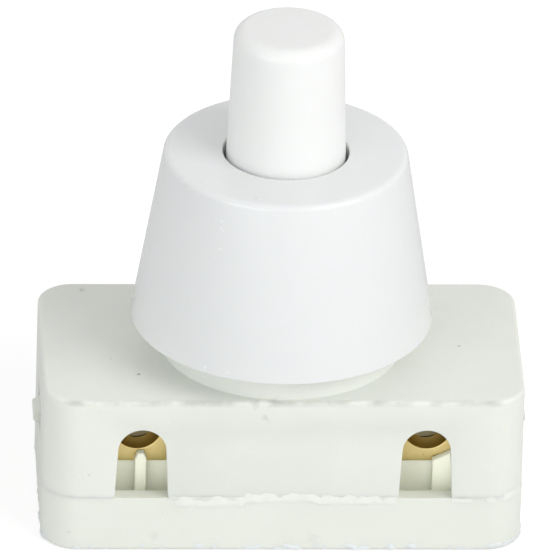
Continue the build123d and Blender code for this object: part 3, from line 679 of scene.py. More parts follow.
# %% Materials of worked metal
def worked_metal(name, base, tarnish_color, tarnish_amount, stretch, pit_size, roughness, depth,
                 **marks):
    return start_material(name, metal_group, {
        "Base Color": (*base, 1), "Tarnish Color": (*tarnish_color, 1), "Pit Size": pit_size,
        "Tarnish Amount": tarnish_amount, "Line Stretch": stretch, "Roughness": roughness,
    }, depth, {"Metallic": 1.0}, **marks)


terminal_brass = worked_metal(
    "terminal_brass", (0.86, 0.69, 0.31), (0.7, 0.5, 0.18), 0.4, (1, 0.06, 1), 0.05, 0.28, 0.002 * MM,
    blots=[((8.73, -4.5, 5.01), 0.09, SOOT, 0.7)],
)
contact_brass = worked_metal(
    "contact_brass", (0.78, 0.58, 0.22), (0.55, 0.36, 0.12), 0.3, (0.06, 1, 1), 0.04, 0.22, 0.001 * MM
)
contact_silver = worked_metal(
    "contact_silver", (0.85, 0.85, 0.83), (0.5, 0.48, 0.44), 0.3, (1, 1, 1), 0.03, 0.2, 0.001 * MM
)
plated_steel = worked_metal(
    "plated_steel", (0.72, 0.66, 0.48), (0.5, 0.42, 0.25), 0.5, (1, 1, 1), 0.04, 0.25, 0.001 * MM
)
spring_steel = worked_metal(
    "spring_steel", (0.55, 0.55, 0.56), (0.3, 0.3, 0.3), 0.4, (1, 1, 0.1), 0.03, 0.3, 0.001 * MM
)

# %% [markdown]
# ## The housing
#
# The real housing is one moulding: five walls and a roof, a low tapered collar, and a screwed neck
# that goes through the lamp base. It could be one sculpted surface, but a moulding is easier to get
# right the way its mould is made, from plain solids that are joined and cut. A box is rounded at its
# four upright edges and then round its top, the collar and the neck are spun, and the entries, the
# windows and the chamber for the rotor are cut away with tools of their own shape.

# %% The shell and its inside
EDGE_ROUND = 0.25 * MM
RIB_FOOT = block_low.z + SEAT_GAP
BARREL_RADIUS = 5.5 * MM
BARREL_WALL = 1.25 * MM
CHAMBER_TOP = 11.0 * MM
NECK_BORE = 3.8 * MM

housing = start_rounded_box(
    "switch_housing",
    (-HALF_LENGTH, -HALF_DEPTH, SEAM),
    (HALF_LENGTH, HALF_DEPTH, BODY_TOP),
    CORNER_RADIUS,
)
on_top = lambda start, end: min(start.z, end.z) > BODY_TOP - 0.01 * MM
bevel_edges(housing, on_top, EDGE_ROUND, 5)
cut(housing, start_rounded_box(
    "cavity_tool",
    (WALL - HALF_LENGTH, WALL - HALF_DEPTH, SEAM - OVERLAP),
    (HALF_LENGTH - WALL, HALF_DEPTH - WALL, ROOF_UNDERSIDE),
    CORNER_RADIUS - WALL,
))
join(housing, start_bar(
    "barrel", BARREL_RADIUS + BARREL_WALL, RIB_FOOT, ROOF_UNDERSIDE + OVERLAP
))
print("shell with barrel:", triangles(housing), "triangles")

# %% Ribs that hold the terminal blocks
POCKET_WALL = 0.7 * MM
pocket_back = block_high.y + SEAT_GAP
pocket_side = block_high.x + SEAT_GAP
rib_back, rib_top = pocket_back + POCKET_WALL, ROOF_UNDERSIDE + OVERLAP
for side in (-1, 1):
    join(housing, start_side_box(
        "outer_rib", side,
        (pocket_side, WALL / 2 - HALF_DEPTH, RIB_FOOT),
        (pocket_side + POCKET_WALL, rib_back, rib_top),
    ))
    join(housing, start_side_box(
        "back_rib", side,
        (block_low.x - SEAT_GAP - POCKET_WALL / 2, pocket_back, RIB_FOOT),
        (pocket_side, rib_back, rib_top),
    ))
print("with pocket ribs:", triangles(housing), "triangles")

# %% [markdown]
# The collar is a shallow cone, and the neck above it carries a metric fine thread with a pitch of
# one millimetre. A thread is a profile one pitch tall that falls by one pitch each turn. The Screw
# tool does just that, downwards from where the profile stands: the profile's end meets its own start
# one turn on, so the turns merge into one skin. The axis points down, which makes it right-handed.
# Two flat cuts close it, fine enough to leave its ends truly flat, and it is then kept only inside
# an envelope with a chamfered end, the way a real thread is cut from a chamfered bar.

# %% The collar and the screwed neck
COLLAR_FOOT_RADIUS = 7.4 * MM
COLLAR_TOP_RADIUS = 6.75 * MM
COLLAR_TOP = 12.4 * MM
COLLAR_ROUND = 0.12 * MM
THREAD_PITCH = 1.0 * MM
THREAD_CREST = 5.0 * MM
THREAD_ROOT = 4.45 * MM
NECK_CHAMFER = 0.5 * MM

def start_thread(name, crest, root, pitch, low, high, steps=72):
    """A threaded rod from height low to height high, closed at both ends."""
    turns = math.ceil((high - low) / pitch) + 3
    above = low + (turns - 2) * pitch
    flat = pitch / 8
    flank = (pitch - 3 * flat) / 2
    piece = start_profile(name, [
        (root, 0, above),
        (crest, 0, above + flank),
        (crest, 0, above + flank + flat),
        (root, 0, above + 2 * flank + flat),
        (root, 0, above + pitch),
    ])
    bpy.ops.mesh.screw(steps=steps, turns=turns, center=(0, 0, 0), axis=(0, 0, -pitch))
    bpy.ops.mesh.select_all(action="SELECT")
    bpy.ops.mesh.remove_doubles(threshold=FINE)
    bpy.ops.mesh.bisect(
        plane_co=(0, 0, low), plane_no=(0, 0, 1), use_fill=True, clear_inner=True, threshold=FINE
    )
    bpy.ops.mesh.select_all(action="SELECT")
    bpy.ops.mesh.bisect(
        plane_co=(0, 0, high), plane_no=(0, 0, 1), use_fill=True, clear_outer=True, threshold=FINE
    )
    return close_up(piece)


collar = spin_profile("collar", [
    (0, BODY_TOP - 2 * OVERLAP),
    (COLLAR_FOOT_RADIUS, BODY_TOP - 2 * OVERLAP),
    (COLLAR_FOOT_RADIUS, BODY_TOP),
    (COLLAR_TOP_RADIUS, COLLAR_TOP),
    (0, COLLAR_TOP),
])
rim_of_collar = lambda start, end: (
    min(start.z, end.z) > COLLAR_TOP - 0.01 * MM
    and min(start.xy.length, end.xy.length) > 0.9 * COLLAR_TOP_RADIUS
)
bevel_edges(collar, rim_of_collar, COLLAR_ROUND, 3)
join(housing, collar)

thread = start_thread(
    "neck", THREAD_CREST, THREAD_ROOT, THREAD_PITCH, COLLAR_TOP - OVERLAP, NECK_TOP + OVERLAP
)
combine(thread, spin_profile("thread_envelope", [
    (0, COLLAR_TOP - 2 * OVERLAP),
    (THREAD_CREST + OVERLAP, COLLAR_TOP - 2 * OVERLAP),
    (THREAD_CREST + OVERLAP, NECK_TOP - NECK_CHAMFER - OVERLAP),
    (THREAD_CREST - NECK_CHAMFER, NECK_TOP),
    (0, NECK_TOP),
]), "INTERSECT")
join(housing, thread)
print("with collar and thread:", triangles(housing), "triangles")

# %% [markdown]
# The cuts come last, so that each one goes cleanly through all that it should. The chamber lets the
# rotor turn and stops the button's flange, the bore guides the button, and two grooves take its ears.
# The lead entries are arches that are open down to the seam, where the base cover closes them.

# %% Chamber, bore, grooves and slots for the contact tabs
EAR_WIDTH = 1.8 * MM
EAR_REACH = 6.2 * MM
TAB_SLOT_WIDTH = 0.43 * MM
TAB_SLOT_FRONT = 0.62 * MM

cut(housing, start_bar("chamber_tool", BARREL_RADIUS, RIB_FOOT - OVERLAP, CHAMBER_TOP, steps=128))
cut(housing, start_bar("bore_tool", NECK_BORE, CHAMBER_TOP - OVERLAP, NECK_TOP + OVERLAP, steps=128))
cut(housing, start_box(
    "ear_groove_tool",
    (-EAR_WIDTH / 2 - SEAT_GAP, -EAR_REACH - SEAT_GAP, RIB_FOOT - OVERLAP),
    (EAR_WIDTH / 2 + SEAT_GAP, EAR_REACH + SEAT_GAP, CHAMBER_TOP),
))
contact_low, contact_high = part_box("fixed_contact_right")
for side in (-1, 1):
    cut(housing, start_side_box(
        "tab_slot_tool", side,
        (block_low.x - TAB_SLOT_WIDTH, TAB_SLOT_FRONT, RIB_FOOT - OVERLAP),
        (block_low.x + 0.01 * MM, contact_high.y + SEAT_GAP, ROOF_UNDERSIDE),
    ))
print("chamber and bore cut:", triangles(housing), "triangles")

# %% Lead entries and snap windows
SLOT_X = 8.715 * MM
SLOT_RADIUS = 1.48 * MM
SLOT_FOOT_HALF = 1.65 * MM
SLOT_ROUND = 0.07 * MM
LEAD_HEIGHT = 6.92 * MM
WINDOW_HALF_WIDTH = 2.0 * MM
WINDOW_LOW = 4.9 * MM
WINDOW_HIGH = 7.2 * MM


def start_arch(name, middle, front, back, steps=40):
    """A solid arch, drawn as an outline in the front plane and extruded to the back."""
    outline = [(middle - SLOT_FOOT_HALF, front, SEAM - OVERLAP)]
    for step in range(steps + 1):
        angle = math.pi * (1 - step / steps)
        across_arch = middle + SLOT_RADIUS * math.cos(angle)
        outline.append((across_arch, front, LEAD_HEIGHT + SLOT_RADIUS * math.sin(angle)))
    outline.append((middle + SLOT_FOOT_HALF, front, SEAM - OVERLAP))
    return extrude_outline(name, outline, (0, back - front, 0))


for side in (-1, 1):
    cut(housing, start_arch(
        "lead_entry_tool", side * SLOT_X, -HALF_DEPTH - OVERLAP, WALL - HALF_DEPTH + OVERLAP / 2
    ))
    cut(housing, start_side_box(
        "window_tool", side,
        (HALF_LENGTH - WALL - OVERLAP, -WINDOW_HALF_WIDTH, WINDOW_LOW),
        (HALF_LENGTH + OVERLAP, WINDOW_HALF_WIDTH, WINDOW_HIGH),
    ))


def on_arch_rim(start, end):
    """True for the edges of the two arches that lie in the front face."""
    in_front = max(start.y, end.y) < HAIR - HALF_DEPTH
    beside = max(abs(abs(start.x) - SLOT_X), abs(abs(end.x) - SLOT_X)) < SLOT_FOOT_HALF + 0.02 * MM
    return in_front and beside and max(start.z, end.z) < LEAD_HEIGHT + SLOT_RADIUS + 0.02 * MM


bevel_edges(housing, on_arch_rim, SLOT_ROUND, 2)
dress(housing, housing_plastic, "root", "housing_plastic", "housing")

# %% [markdown]
# ## Flash along the seam and the foot
#
# Where the two halves of a worn mould meet, a little plastic creeps out and sets as a ragged lip. The
# photograph shows it clearly below the housing's front wall and along the foot of the base cover. A
# lip like that has no profile that could be extruded. It starts as a narrow ribbon round the body,
# cut into faces a seventh of a millimetre wide, and cloud textures push it outwards and up and down.
# A vertex group says how strongly, so that it fades out at both edges and away from the front.


# %% A ribbon round the body
def start_ribbon(name, low, high, inset, longest):
    """The sides of a rounded box between two heights, in small faces, open above and below."""
    piece = start_rounded_box(
        name,
        (inset - HALF_LENGTH, inset - HALF_DEPTH, low),
        (HALF_LENGTH - inset, HALF_DEPTH - inset, high),
        CORNER_RADIUS - inset,
    )
    delete_faces(piece, lambda centre, normal: abs(normal.z) > 0.99)
    too_long = lambda start, end: (start - end).length > longest
    while any(too_long(*ends(piece, edge)) for edge in piece.data.edges):
        choose_edges(piece, too_long)
        bpy.ops.mesh.subdivide(number_cuts=1)
        bpy.ops.object.mode_set(mode="OBJECT")
    return piece


def weigh(piece, name, weight):
    """A vertex group whose weight is a function of the vertex's place."""
    group = piece.vertex_groups.new(name=name)
    for vertex in piece.data.vertices:
        group.add([vertex.index], min(max(weight(vertex.co), 0), 1), "REPLACE")
    return name


def roughen(piece, group, grain_size, strength, direction, middle):
    """Pushes a piece about with a cloud texture, as far as its vertex group allows."""
    clouds = bpy.data.textures.new(f"{piece.name}_clouds", "CLOUDS")
    clouds.noise_scale = grain_size
    clouds.noise_depth = 3
    apply_modifier(
        piece, "DISPLACE", texture=clouds, vertex_group=group, strength=strength,
        direction=direction, mid_level=middle,
    )


def push_along(piece, group, distance, direction):
    """Moves a piece's vertices evenly, as far as its vertex group allows."""
    apply_modifier(
        piece, "DISPLACE", vertex_group=group, strength=distance, direction=direction, mid_level=0
    )


# %% The flash below the housing
SEAM_FLASH_LOW = SEAM - 0.3 * MM
SEAM_FLASH_HIGH = SEAM + 0.8 * MM
FACE_SIZE = 0.15 * MM
FLASH_THICKNESS = 0.1 * MM


def seam_strength(spot):
    """Strong below the front wall, weaker round the right corner, and almost nothing elsewhere."""
    rise = min(max((spot.z - SEAM_FLASH_LOW) / (SEAM_FLASH_HIGH - SEAM_FLASH_LOW), 0), 1)
    fade = min(rise / 0.15, 1) * (1 - rise) ** 1.2
    in_front = spot.y < 0.3 * MM - HALF_DEPTH
    if in_front and abs(spot.x) < SLOT_X - SLOT_FOOT_HALF:
        return fade
    if in_front:
        return (0.4 if spot.x > 0 else 0.2) * fade
    if spot.x > 0 and spot.y < -3.5 * MM:
        return 0.85 * fade
    return 0.02 * fade


def seam_hang(spot):
    """How far the lip hangs down, as a share, by the place along the front."""
    here = spot.x / MM
    if spot.y > 0.3 * MM - HALF_DEPTH or here > 7.5:
        return 0.4
    if here < -2.4:
        return 1.0
    if here < 2.0:
        return 0.25
    return 0.55


seam_flash = start_ribbon("seam_flash", SEAM_FLASH_LOW, SEAM_FLASH_HIGH, 0.03 * MM, FACE_SIZE)


def across_entry(centre, normal):
    beside = abs(abs(centre.x) - SLOT_X) < SLOT_FOOT_HALF + 0.02 * MM
    return beside and centre.y < 0.3 * MM - HALF_DEPTH


delete_faces(seam_flash, across_entry)
seam_group = weigh(seam_flash, "seam", seam_strength)
hang_group = weigh(seam_flash, "hang", seam_hang)
push_along(seam_flash, hang_group, -0.4 * MM, "Z")
roughen(seam_flash, seam_group, 1.0 * MM, 0.32 * MM, "Z", 0.5)
push_along(seam_flash, seam_group, 0.09 * MM, "NORMAL")
roughen(seam_flash, seam_group, 0.7 * MM, 0.3 * MM, "NORMAL", 0.45)
apply_modifier(seam_flash, "SMOOTH", factor=0.5, iterations=2)
roughen(seam_flash, seam_group, 0.2 * MM, 0.06 * MM, "NORMAL", 0.5)
apply_modifier(seam_flash, "SOLIDIFY", thickness=FLASH_THICKNESS, offset=-1)
dress(seam_flash, flash_plastic, "root", "housing_plastic", smooth_below=75)

# %% The flash along the foot of the base cover
FOOT_FLASH_LOW = 0.13 * MM
FOOT_FLASH_HIGH = 0.55 * MM


def foot_strength(spot):
    """Strong right of the middle and at the right corner, and only just above the foot."""
    rise = min(max((spot.z - FOOT_FLASH_LOW) / (FOOT_FLASH_HIGH - FOOT_FLASH_LOW), 0), 1)
    fade = math.sin(math.pi * (0.2 + 0.8 * rise))
    here = spot.x / MM
    if spot.y > 0:
        return 0.4 * fade
    if 0 < here < 8 or here > 13.2:
        return fade
    return 0.62 * fade


foot_flash = start_ribbon("foot_flash", FOOT_FLASH_LOW, FOOT_FLASH_HIGH, 0.04 * MM, FACE_SIZE)
foot_group = weigh(foot_flash, "foot", foot_strength)
push_along(foot_flash, foot_group, 0.05 * MM, "NORMAL")
roughen(foot_flash, foot_group, 0.7 * MM, 0.85 * MM, "NORMAL", 0.52)
apply_modifier(foot_flash, "SMOOTH", factor=0.5, iterations=1)
apply_modifier(foot_flash, "SOLIDIFY", thickness=FLASH_THICKNESS, offset=-1)
# The foot's flash takes the darker bluish plastic, painted shade for its downward-facing rounding.
dress(foot_flash, shaded_foot_plastic, "root", "cover_plastic", smooth_below=75)

# %% [markdown]
# ## The cone nut
#
# The nut clamps the lamp base against the collar. It is a hollow cone with a rim at each end that is
# rounded by the mould, and ribs inside that join it to its screwed sleeve. The outside is one spun
# profile. The eight pockets between the ribs are cut with one tool, spun through less than an eighth
# of a turn, and turned round for each place. The thread inside is cut as a tap would cut it.

# %% Spin the nut
NUT_FOOT_RADIUS = 9.275 * MM
NUT_TOP_RADIUS = 7.46 * MM
NUT_HOLE_RADIUS = 3.87 * MM
NUT_TOP_WALL = 1.6 * MM
NUT_WALL = 1.3 * MM
NUT_FOOT_ROUND = 0.12 * MM
NUT_TOP_ROUND = 0.35 * MM
NUT_HOLE_ROUND = 0.12 * MM
THREAD_GAP = 0.05 * MM
NUT_BORE = THREAD_ROOT + THREAD_GAP + 0.02 * MM

nut = spin_profile("switch_nut", [
    (NUT_BORE, nut_low.z),
    (NUT_FOOT_RADIUS, nut_low.z),
    (NUT_TOP_RADIUS, nut_high.z),
    (NUT_HOLE_RADIUS, nut_high.z),
    (NUT_HOLE_RADIUS, nut_high.z - NUT_TOP_WALL),
    (NUT_BORE, nut_high.z - NUT_TOP_WALL),
    (NUT_BORE, nut_low.z),
], steps=192)


def nut_rim(radius, height):
    """A test for the edges of one rim of the nut."""
    def on_rim(start, end):
        level = max(abs(start.z - height), abs(end.z - height)) < HAIR
        gauge = max(abs(start.xy.length - radius), abs(end.xy.length - radius))
        return level and gauge < 0.01 * MM
    return on_rim


bevel_edges(nut, nut_rim(NUT_FOOT_RADIUS, nut_low.z), NUT_FOOT_ROUND, 4)
bevel_edges(nut, nut_rim(NUT_TOP_RADIUS, nut_high.z), NUT_TOP_ROUND, 6)
bevel_edges(nut, nut_rim(NUT_HOLE_RADIUS, nut_high.z), NUT_HOLE_ROUND, 3)
print("nut turned:", triangles(nut), "triangles")

# %% Cut the pockets and the thread
NUT_POCKETS = 8
NUT_RIB_ANGLE = math.radians(7)
POCKET_INNER = 6.4 * MM
POCKET_ROOF = 3.2 * MM
pocket_arc = 2 * math.pi / NUT_POCKETS - NUT_RIB_ANGLE
pocket_top = nut_high.z - POCKET_ROOF
nut_slope = (NUT_FOOT_RADIUS - NUT_TOP_RADIUS) / (nut_high.z - nut_low.z)
pocket_outer = NUT_FOOT_RADIUS - NUT_WALL
pocket_outer_top = pocket_outer - nut_slope * (pocket_top - nut_low.z)


def start_pocket(name, turn):
    """A wedge that bounds one pocket, starting at the angle turn."""
    below = nut_low.z - OVERLAP
    piece = start_profile(name, [
        (POCKET_INNER, 0, below),
        (pocket_outer + nut_slope * OVERLAP, 0, below),
        (pocket_outer_top, 0, pocket_top),
        (POCKET_INNER, 0, pocket_top),
    ])
    bpy.ops.mesh.edge_face_add()
    bpy.ops.mesh.spin(steps=24, angle=-pocket_arc, center=(0, 0, 0), axis=(0, 0, 1))
    bpy.ops.object.mode_set(mode="OBJECT")
    piece.data.transform(Matrix.Rotation(turn, 4, "Z"))
    bpy.ops.object.mode_set(mode="EDIT")
    return close_up(piece)


for pocket in range(NUT_POCKETS):
    cut(nut, start_pocket("pocket_tool", 2 * math.pi * pocket / NUT_POCKETS))
cut(nut, start_thread(
    "tap",
    THREAD_CREST + THREAD_GAP,
    THREAD_ROOT + THREAD_GAP,
    THREAD_PITCH,
    COLLAR_TOP - OVERLAP,
    nut_high.z - NUT_TOP_WALL - THREAD_PITCH,
))
dress(nut, nut_plastic, "nut", "nut_plastic", "cone_nut")

# %% [markdown]
# ## The base cover
#
# The base cover is a tray that closes the housing from below. Seen from outside it is the smooth band
# under the seam, but through the two entries the camera looks straight at what stands in it, and from
# below it shows its screw holes. It is built as the housing was: a rounded box, hollowed out, with a
# lip that fits into the housing, a carrier under each terminal block and two snap arms.

# %% The tray and its lip
COVER_ROUND = 0.3 * MM
LIP_WALL = 0.7 * MM
LIP_HEIGHT = 0.75 * MM
LIP_ROOT = 0.8 * MM
LIP_CLEAR_OF_SLOT = 0.5 * MM

cover = start_rounded_box(
    "switch_cover", (-HALF_LENGTH, -HALF_DEPTH, 0), (HALF_LENGTH, HALF_DEPTH, SEAM), CORNER_RADIUS
)
bevel_edges(cover, lambda start, end: max(start.z, end.z) < HAIR, COVER_ROUND, 5)
cut(cover, start_rounded_box(
    "tray_tool",
    (WALL - HALF_LENGTH, WALL - HALF_DEPTH, FLOOR),
    (HALF_LENGTH - WALL, HALF_DEPTH - WALL, SEAM + OVERLAP),
    CORNER_RADIUS - WALL,
))
lip_x = HALF_LENGTH - WALL - SEAT_GAP
lip_y = HALF_DEPTH - WALL - SEAT_GAP
lip = start_rounded_box(
    "lip", (-lip_x, -lip_y, SEAM - LIP_ROOT), (lip_x, lip_y, SEAM + LIP_HEIGHT),
    CORNER_RADIUS - WALL - SEAT_GAP,
)
bevel_edges(lip, lambda start, end: min(start.z, end.z) > SEAM + LIP_HEIGHT - HAIR, 0.15 * MM, 2)
join(lip, start_rounded_box(
    "lip_root",
    (-lip_x - OVERLAP, -lip_y - OVERLAP, SEAM - LIP_ROOT + 0.05 * MM),
    (lip_x + OVERLAP, lip_y + OVERLAP, SEAM - 0.1 * MM),
    CORNER_RADIUS - WALL,
))
cut(lip, start_box(
    "lip_tool",
    (LIP_WALL - lip_x, LIP_WALL - lip_y, SEAM - LIP_ROOT - OVERLAP),
    (lip_x - LIP_WALL, lip_y - LIP_WALL, SEAM + LIP_HEIGHT + OVERLAP),
))
slot_half = SLOT_FOOT_HALF + LIP_CLEAR_OF_SLOT
for side in (-1, 1):
    cut(lip, start_box(
        "entry_tool",
        (side * SLOT_X - slot_half, -HALF_DEPTH, SEAM - LIP_ROOT - OVERLAP),
        (side * SLOT_X + slot_half, LIP_WALL + OVERLAP - lip_y, SEAM + LIP_HEIGHT + OVERLAP),
    ))
join(cover, lip)
print("tray with its lip:", triangles(cover), "triangles")

# %% Carriers under the terminal blocks, with a ridge in front of each
TERMINAL_X = (block_low.x + block_high.x) / 2
BLOCK_FOOT = block_low.z
CARRIER_SIDE = 0.6 * MM
CARRIER_FRONT = block_low.y + 0.1 * MM
CARRIER_BACK = 0.55 * MM
RIDGE_BACK = block_low.y - SEAT_GAP
RIDGE_DEPTH = 0.5 * MM
RIDGE_SOFTNESS = 0.1 * MM


def start_ridge(name, outline):
    """A ridge from its outline of (across, height) points in millimetres."""
    front = RIDGE_BACK - RIDGE_DEPTH
    points = [(across_ridge * MM, front, height * MM) for across_ridge, height in outline]
    piece = extrude_outline(name, points, (0, RIDGE_DEPTH, 0))
    in_front_and_high = lambda start, end: (
        max(start.y, end.y) < front + HAIR and max(start.z, end.z) > FLOOR + HAIR
    )
    bevel_edges(piece, in_front_and_high, RIDGE_SOFTNESS, 3)
    return piece


left_ridge = start_ridge("left_ridge", [
    (-9.03, 1.2), (-9.03, 4.98), (-8.85, 5.37), (-8.49, 5.37), (-8.31, 4.98), (-8.31, 1.2)
])
right_ridge = start_ridge("right_ridge", [(9.25, 1.2), (9.25, 4.87), (10.65, 5.55), (10.65, 1.2)])
for side, ridge, middle, width in (
    (-1, left_ridge, -8.67 * MM, 0.72 * MM), (1, right_ridge, 9.95 * MM, 1.4 * MM)
):
    half_width = (block_high.x - block_low.x) / 2 + CARRIER_SIDE
    carrier = start_box(
        "carrier",
        (side * TERMINAL_X - half_width, CARRIER_FRONT, FLOOR - OVERLAP),
        (side * TERMINAL_X + half_width, CARRIER_BACK, BLOCK_FOOT),
    )
    bevel_edges(carrier, lambda start, end: max(start.z, end.z) > BLOCK_FOOT - HAIR, 0.06 * MM, 2)
    join(carrier, start_box(
        "ridge_root",
        (middle - width / 2, RIDGE_BACK - OVERLAP, FLOOR - OVERLAP),
        (middle + width / 2, CARRIER_FRONT + OVERLAP, BLOCK_FOOT - 0.1 * MM),
    ))
    join(carrier, ridge)
    join(cover, carrier)
print("with carriers:", triangles(cover), "triangles")

# %% Holes for the terminal screws and their driver
SCREW_Y = (screw_low.y + screw_high.y) / 2
HEAD_RADIUS = (screw_high.y - screw_low.y) / 2
CHAMBER_FOOT = screw_low.z - 0.1 * MM
DRIVER_HOLE = 1.4 * MM
DRIVER_HOLE_ROUND = 0.1 * MM
for side in (-1, 1):
    spot = (side * TERMINAL_X, SCREW_Y)
    cut(cover, start_bar(
        "chamber_tool", HEAD_RADIUS + 0.1 * MM, CHAMBER_FOOT, BLOCK_FOOT + OVERLAP, spot, 64
    ))
    cut(cover, start_bar("driver_tool", DRIVER_HOLE, -OVERLAP, CHAMBER_FOOT + OVERLAP, spot, 64))


def driver_rim(start, end):
    """True for the two rims in the underside that a screwdriver goes through."""
    places = [Vector((side * TERMINAL_X, SCREW_Y)) for side in (-1, 1)]
    near_hole = any((start.xy - spot).length < DRIVER_HOLE + 0.05 * MM for spot in places)
    return near_hole and max(start.z, end.z) < HAIR


bevel_edges(cover, driver_rim, DRIVER_HOLE_ROUND, 2)
print("with screw holes:", triangles(cover), "triangles")

# %% Pads, pin boss and snap arms
PAD_SHORT_OF_BLOCK = 2.0 * MM
PIN_BOSS_RADIUS = 1.8 * MM
PIN_BOSS_BELOW_RIVET = 0.3 * MM
pin_low, pin_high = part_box("rotor_pin")
rivet_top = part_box("contact_rivet_right")[1].z
for side in (-1, 1):
    join(cover, start_side_box(
        "pad", side,
        (contact_low.x, contact_low.y, FLOOR - OVERLAP),
        (TERMINAL_X - PAD_SHORT_OF_BLOCK, contact_high.y, contact_low.z),
    ))
join(cover, start_bar(
    "pin_boss", PIN_BOSS_RADIUS, FLOOR - OVERLAP, rivet_top - PIN_BOSS_BELOW_RIVET, steps=48
))
cut(cover, start_bar("pin_tool", pin_high.x + 0.01 * MM, pin_low.z, rivet_top, steps=48))

ARM_THICKNESS = 0.95 * MM
NOSE_FOOT = 5.35 * MM
NOSE_TOP = 6.35 * MM
NOSE_END = cover_high.x
NOSE_CHAMFER = 0.15 * MM
SNAP_HALF_WIDTH = 1.0 * MM
for side in (-1, 1):
    join(cover, extrude_outline("snap_arm", [
        (side * (lip_x - ARM_THICKNESS), -SNAP_HALF_WIDTH, FLOOR - OVERLAP),
        (side * lip_x, -SNAP_HALF_WIDTH, FLOOR - OVERLAP),
        (side * lip_x, -SNAP_HALF_WIDTH, NOSE_FOOT),
        (side * (NOSE_END - NOSE_CHAMFER), -SNAP_HALF_WIDTH, NOSE_FOOT),
        (side * NOSE_END, -SNAP_HALF_WIDTH, NOSE_FOOT + NOSE_CHAMFER),
        (side * NOSE_END, -SNAP_HALF_WIDTH, (NOSE_FOOT + NOSE_TOP) / 2),
        (side * (HALF_LENGTH - 0.4 * MM), -SNAP_HALF_WIDTH, NOSE_TOP),
        (side * (lip_x - ARM_THICKNESS), -SNAP_HALF_WIDTH, NOSE_TOP),
    ], (0, 2 * SNAP_HALF_WIDTH, 0)))
dress(cover, cover_plastic, "root", "cover_plastic", "base_cover")

# %% [markdown]
# ## Terminal blocks and screws
#
# Each block is a length of drawn brass bar, so its long edges are round. The lead goes into a bore
# from the front, with a small chamfer that catches the light, and a screw comes up from below. Its
# hole is plain here and not tapped, because the screw turns on the spot and its thread would cut into
# another one. One block and one screw are made, and the left pair are copies, moved along.

# %% One brass block
LEAD_BORE = 1.48 * MM
BORE_CHAMFER = 0.12 * MM
BLOCK_ROUND = 0.3 * MM
SCREW_CREST = 1.25 * MM
SCREW_ROOT = 1.03 * MM
SCREW_PITCH = 0.45 * MM
SCREW_THREAD_START = screw_low.z + 1.3 * MM
SCREW_GAP = 0.05 * MM

right_block = start_box("brass_block_right", block_low, block_high)
bevel_edges(
    right_block, lambda start, end: abs(start.y - end.y) > MM, BLOCK_ROUND, 5
)
cut(right_block, start_rod(
    "bore_tool", LEAD_BORE, block_low.y - OVERLAP, block_high.y + OVERLAP, TERMINAL_X, LEAD_HEIGHT
))


def bore_rim(start, end):
    """True for the edges of the bore in the block's front."""
    reach = [math.hypot(spot.x - TERMINAL_X, spot.z - LEAD_HEIGHT) for spot in (start, end)]
    return max(start.y, end.y) < block_low.y + HAIR and max(reach) < LEAD_BORE + 0.01 * MM


bevel_edges(right_block, bore_rim, BORE_CHAMFER, 2)
cut(right_block, start_bar(
    "screw_hole_tool", SCREW_CREST + SCREW_GAP, BLOCK_FOOT - OVERLAP, LEAD_HEIGHT,
    (TERMINAL_X, SCREW_Y), 48,
))
left_block = copy_piece(
    right_block, "brass_block_left", Matrix.Translation((-2 * TERMINAL_X, 0, 0))
)
dress(right_block, terminal_brass, "root", "terminal_brass", "terminal_block_right")
dress(left_block, terminal_brass, "root", "terminal_brass", "terminal_block_left")

# %% One terminal screw
HEAD_HEIGHT = 1.5 * MM
HEAD_CHAMFER = 0.19 * MM
TIP_CHAMFER = 0.16 * MM
DRIVER_SLOT_HALF = 0.25 * MM
DRIVER_SLOT_DEPTH = 0.7 * MM
head_top = screw_low.z + HEAD_HEIGHT

right_screw = spin_profile("plated_screw_right", [
    (0, screw_low.z),
    (HEAD_RADIUS - HEAD_CHAMFER, screw_low.z),
    (HEAD_RADIUS, screw_low.z + HEAD_CHAMFER),
    (HEAD_RADIUS, head_top),
    (0, head_top),
], steps=64)
shank = start_thread(
    "shank", SCREW_CREST, SCREW_ROOT, SCREW_PITCH, SCREW_THREAD_START, screw_high.z + OVERLAP, steps=40
)
combine(shank, spin_profile("shank_envelope", [
    (0, SCREW_THREAD_START),
    (SCREW_CREST + OVERLAP, SCREW_THREAD_START),
    (SCREW_CREST + OVERLAP, screw_high.z - TIP_CHAMFER - OVERLAP),
    (SCREW_CREST - TIP_CHAMFER, screw_high.z),
    (0, screw_high.z),
], steps=64), "INTERSECT")
join(right_screw, shank)
cut(right_screw, start_box(
    "driver_slot_tool",
    (-2 * HEAD_RADIUS, -DRIVER_SLOT_HALF, screw_low.z - OVERLAP),
    (2 * HEAD_RADIUS, DRIVER_SLOT_HALF, screw_low.z + DRIVER_SLOT_DEPTH),
))
move(right_screw, (TERMINAL_X, SCREW_Y, 0))
left_screw = copy_piece(
    right_screw, "plated_screw_left", Matrix.Translation((-2 * TERMINAL_X, 0, 0))
)
dress(right_screw, plated_steel, "screw_right", "plated_steel", "terminal_screw_right")
dress(left_screw, plated_steel, "screw_left", "plated_steel", "terminal_screw_left")

# %% [markdown]
# ## The button
#
# The button is turned round one axis, so nearly all of it is a single spun profile, from its domed
# rim down the tapered barrel to the flange, and back up the hollow inside. Two ears keep it from
# turning. Under the flange stand eight ramps that turn the rotor. One ramp is a spun block whose foot
# is lifted step by step, and the others are copies, each turned by an eighth. The spin operator turns
# clockwise for a positive angle, so a part turn the other way has a negative one.

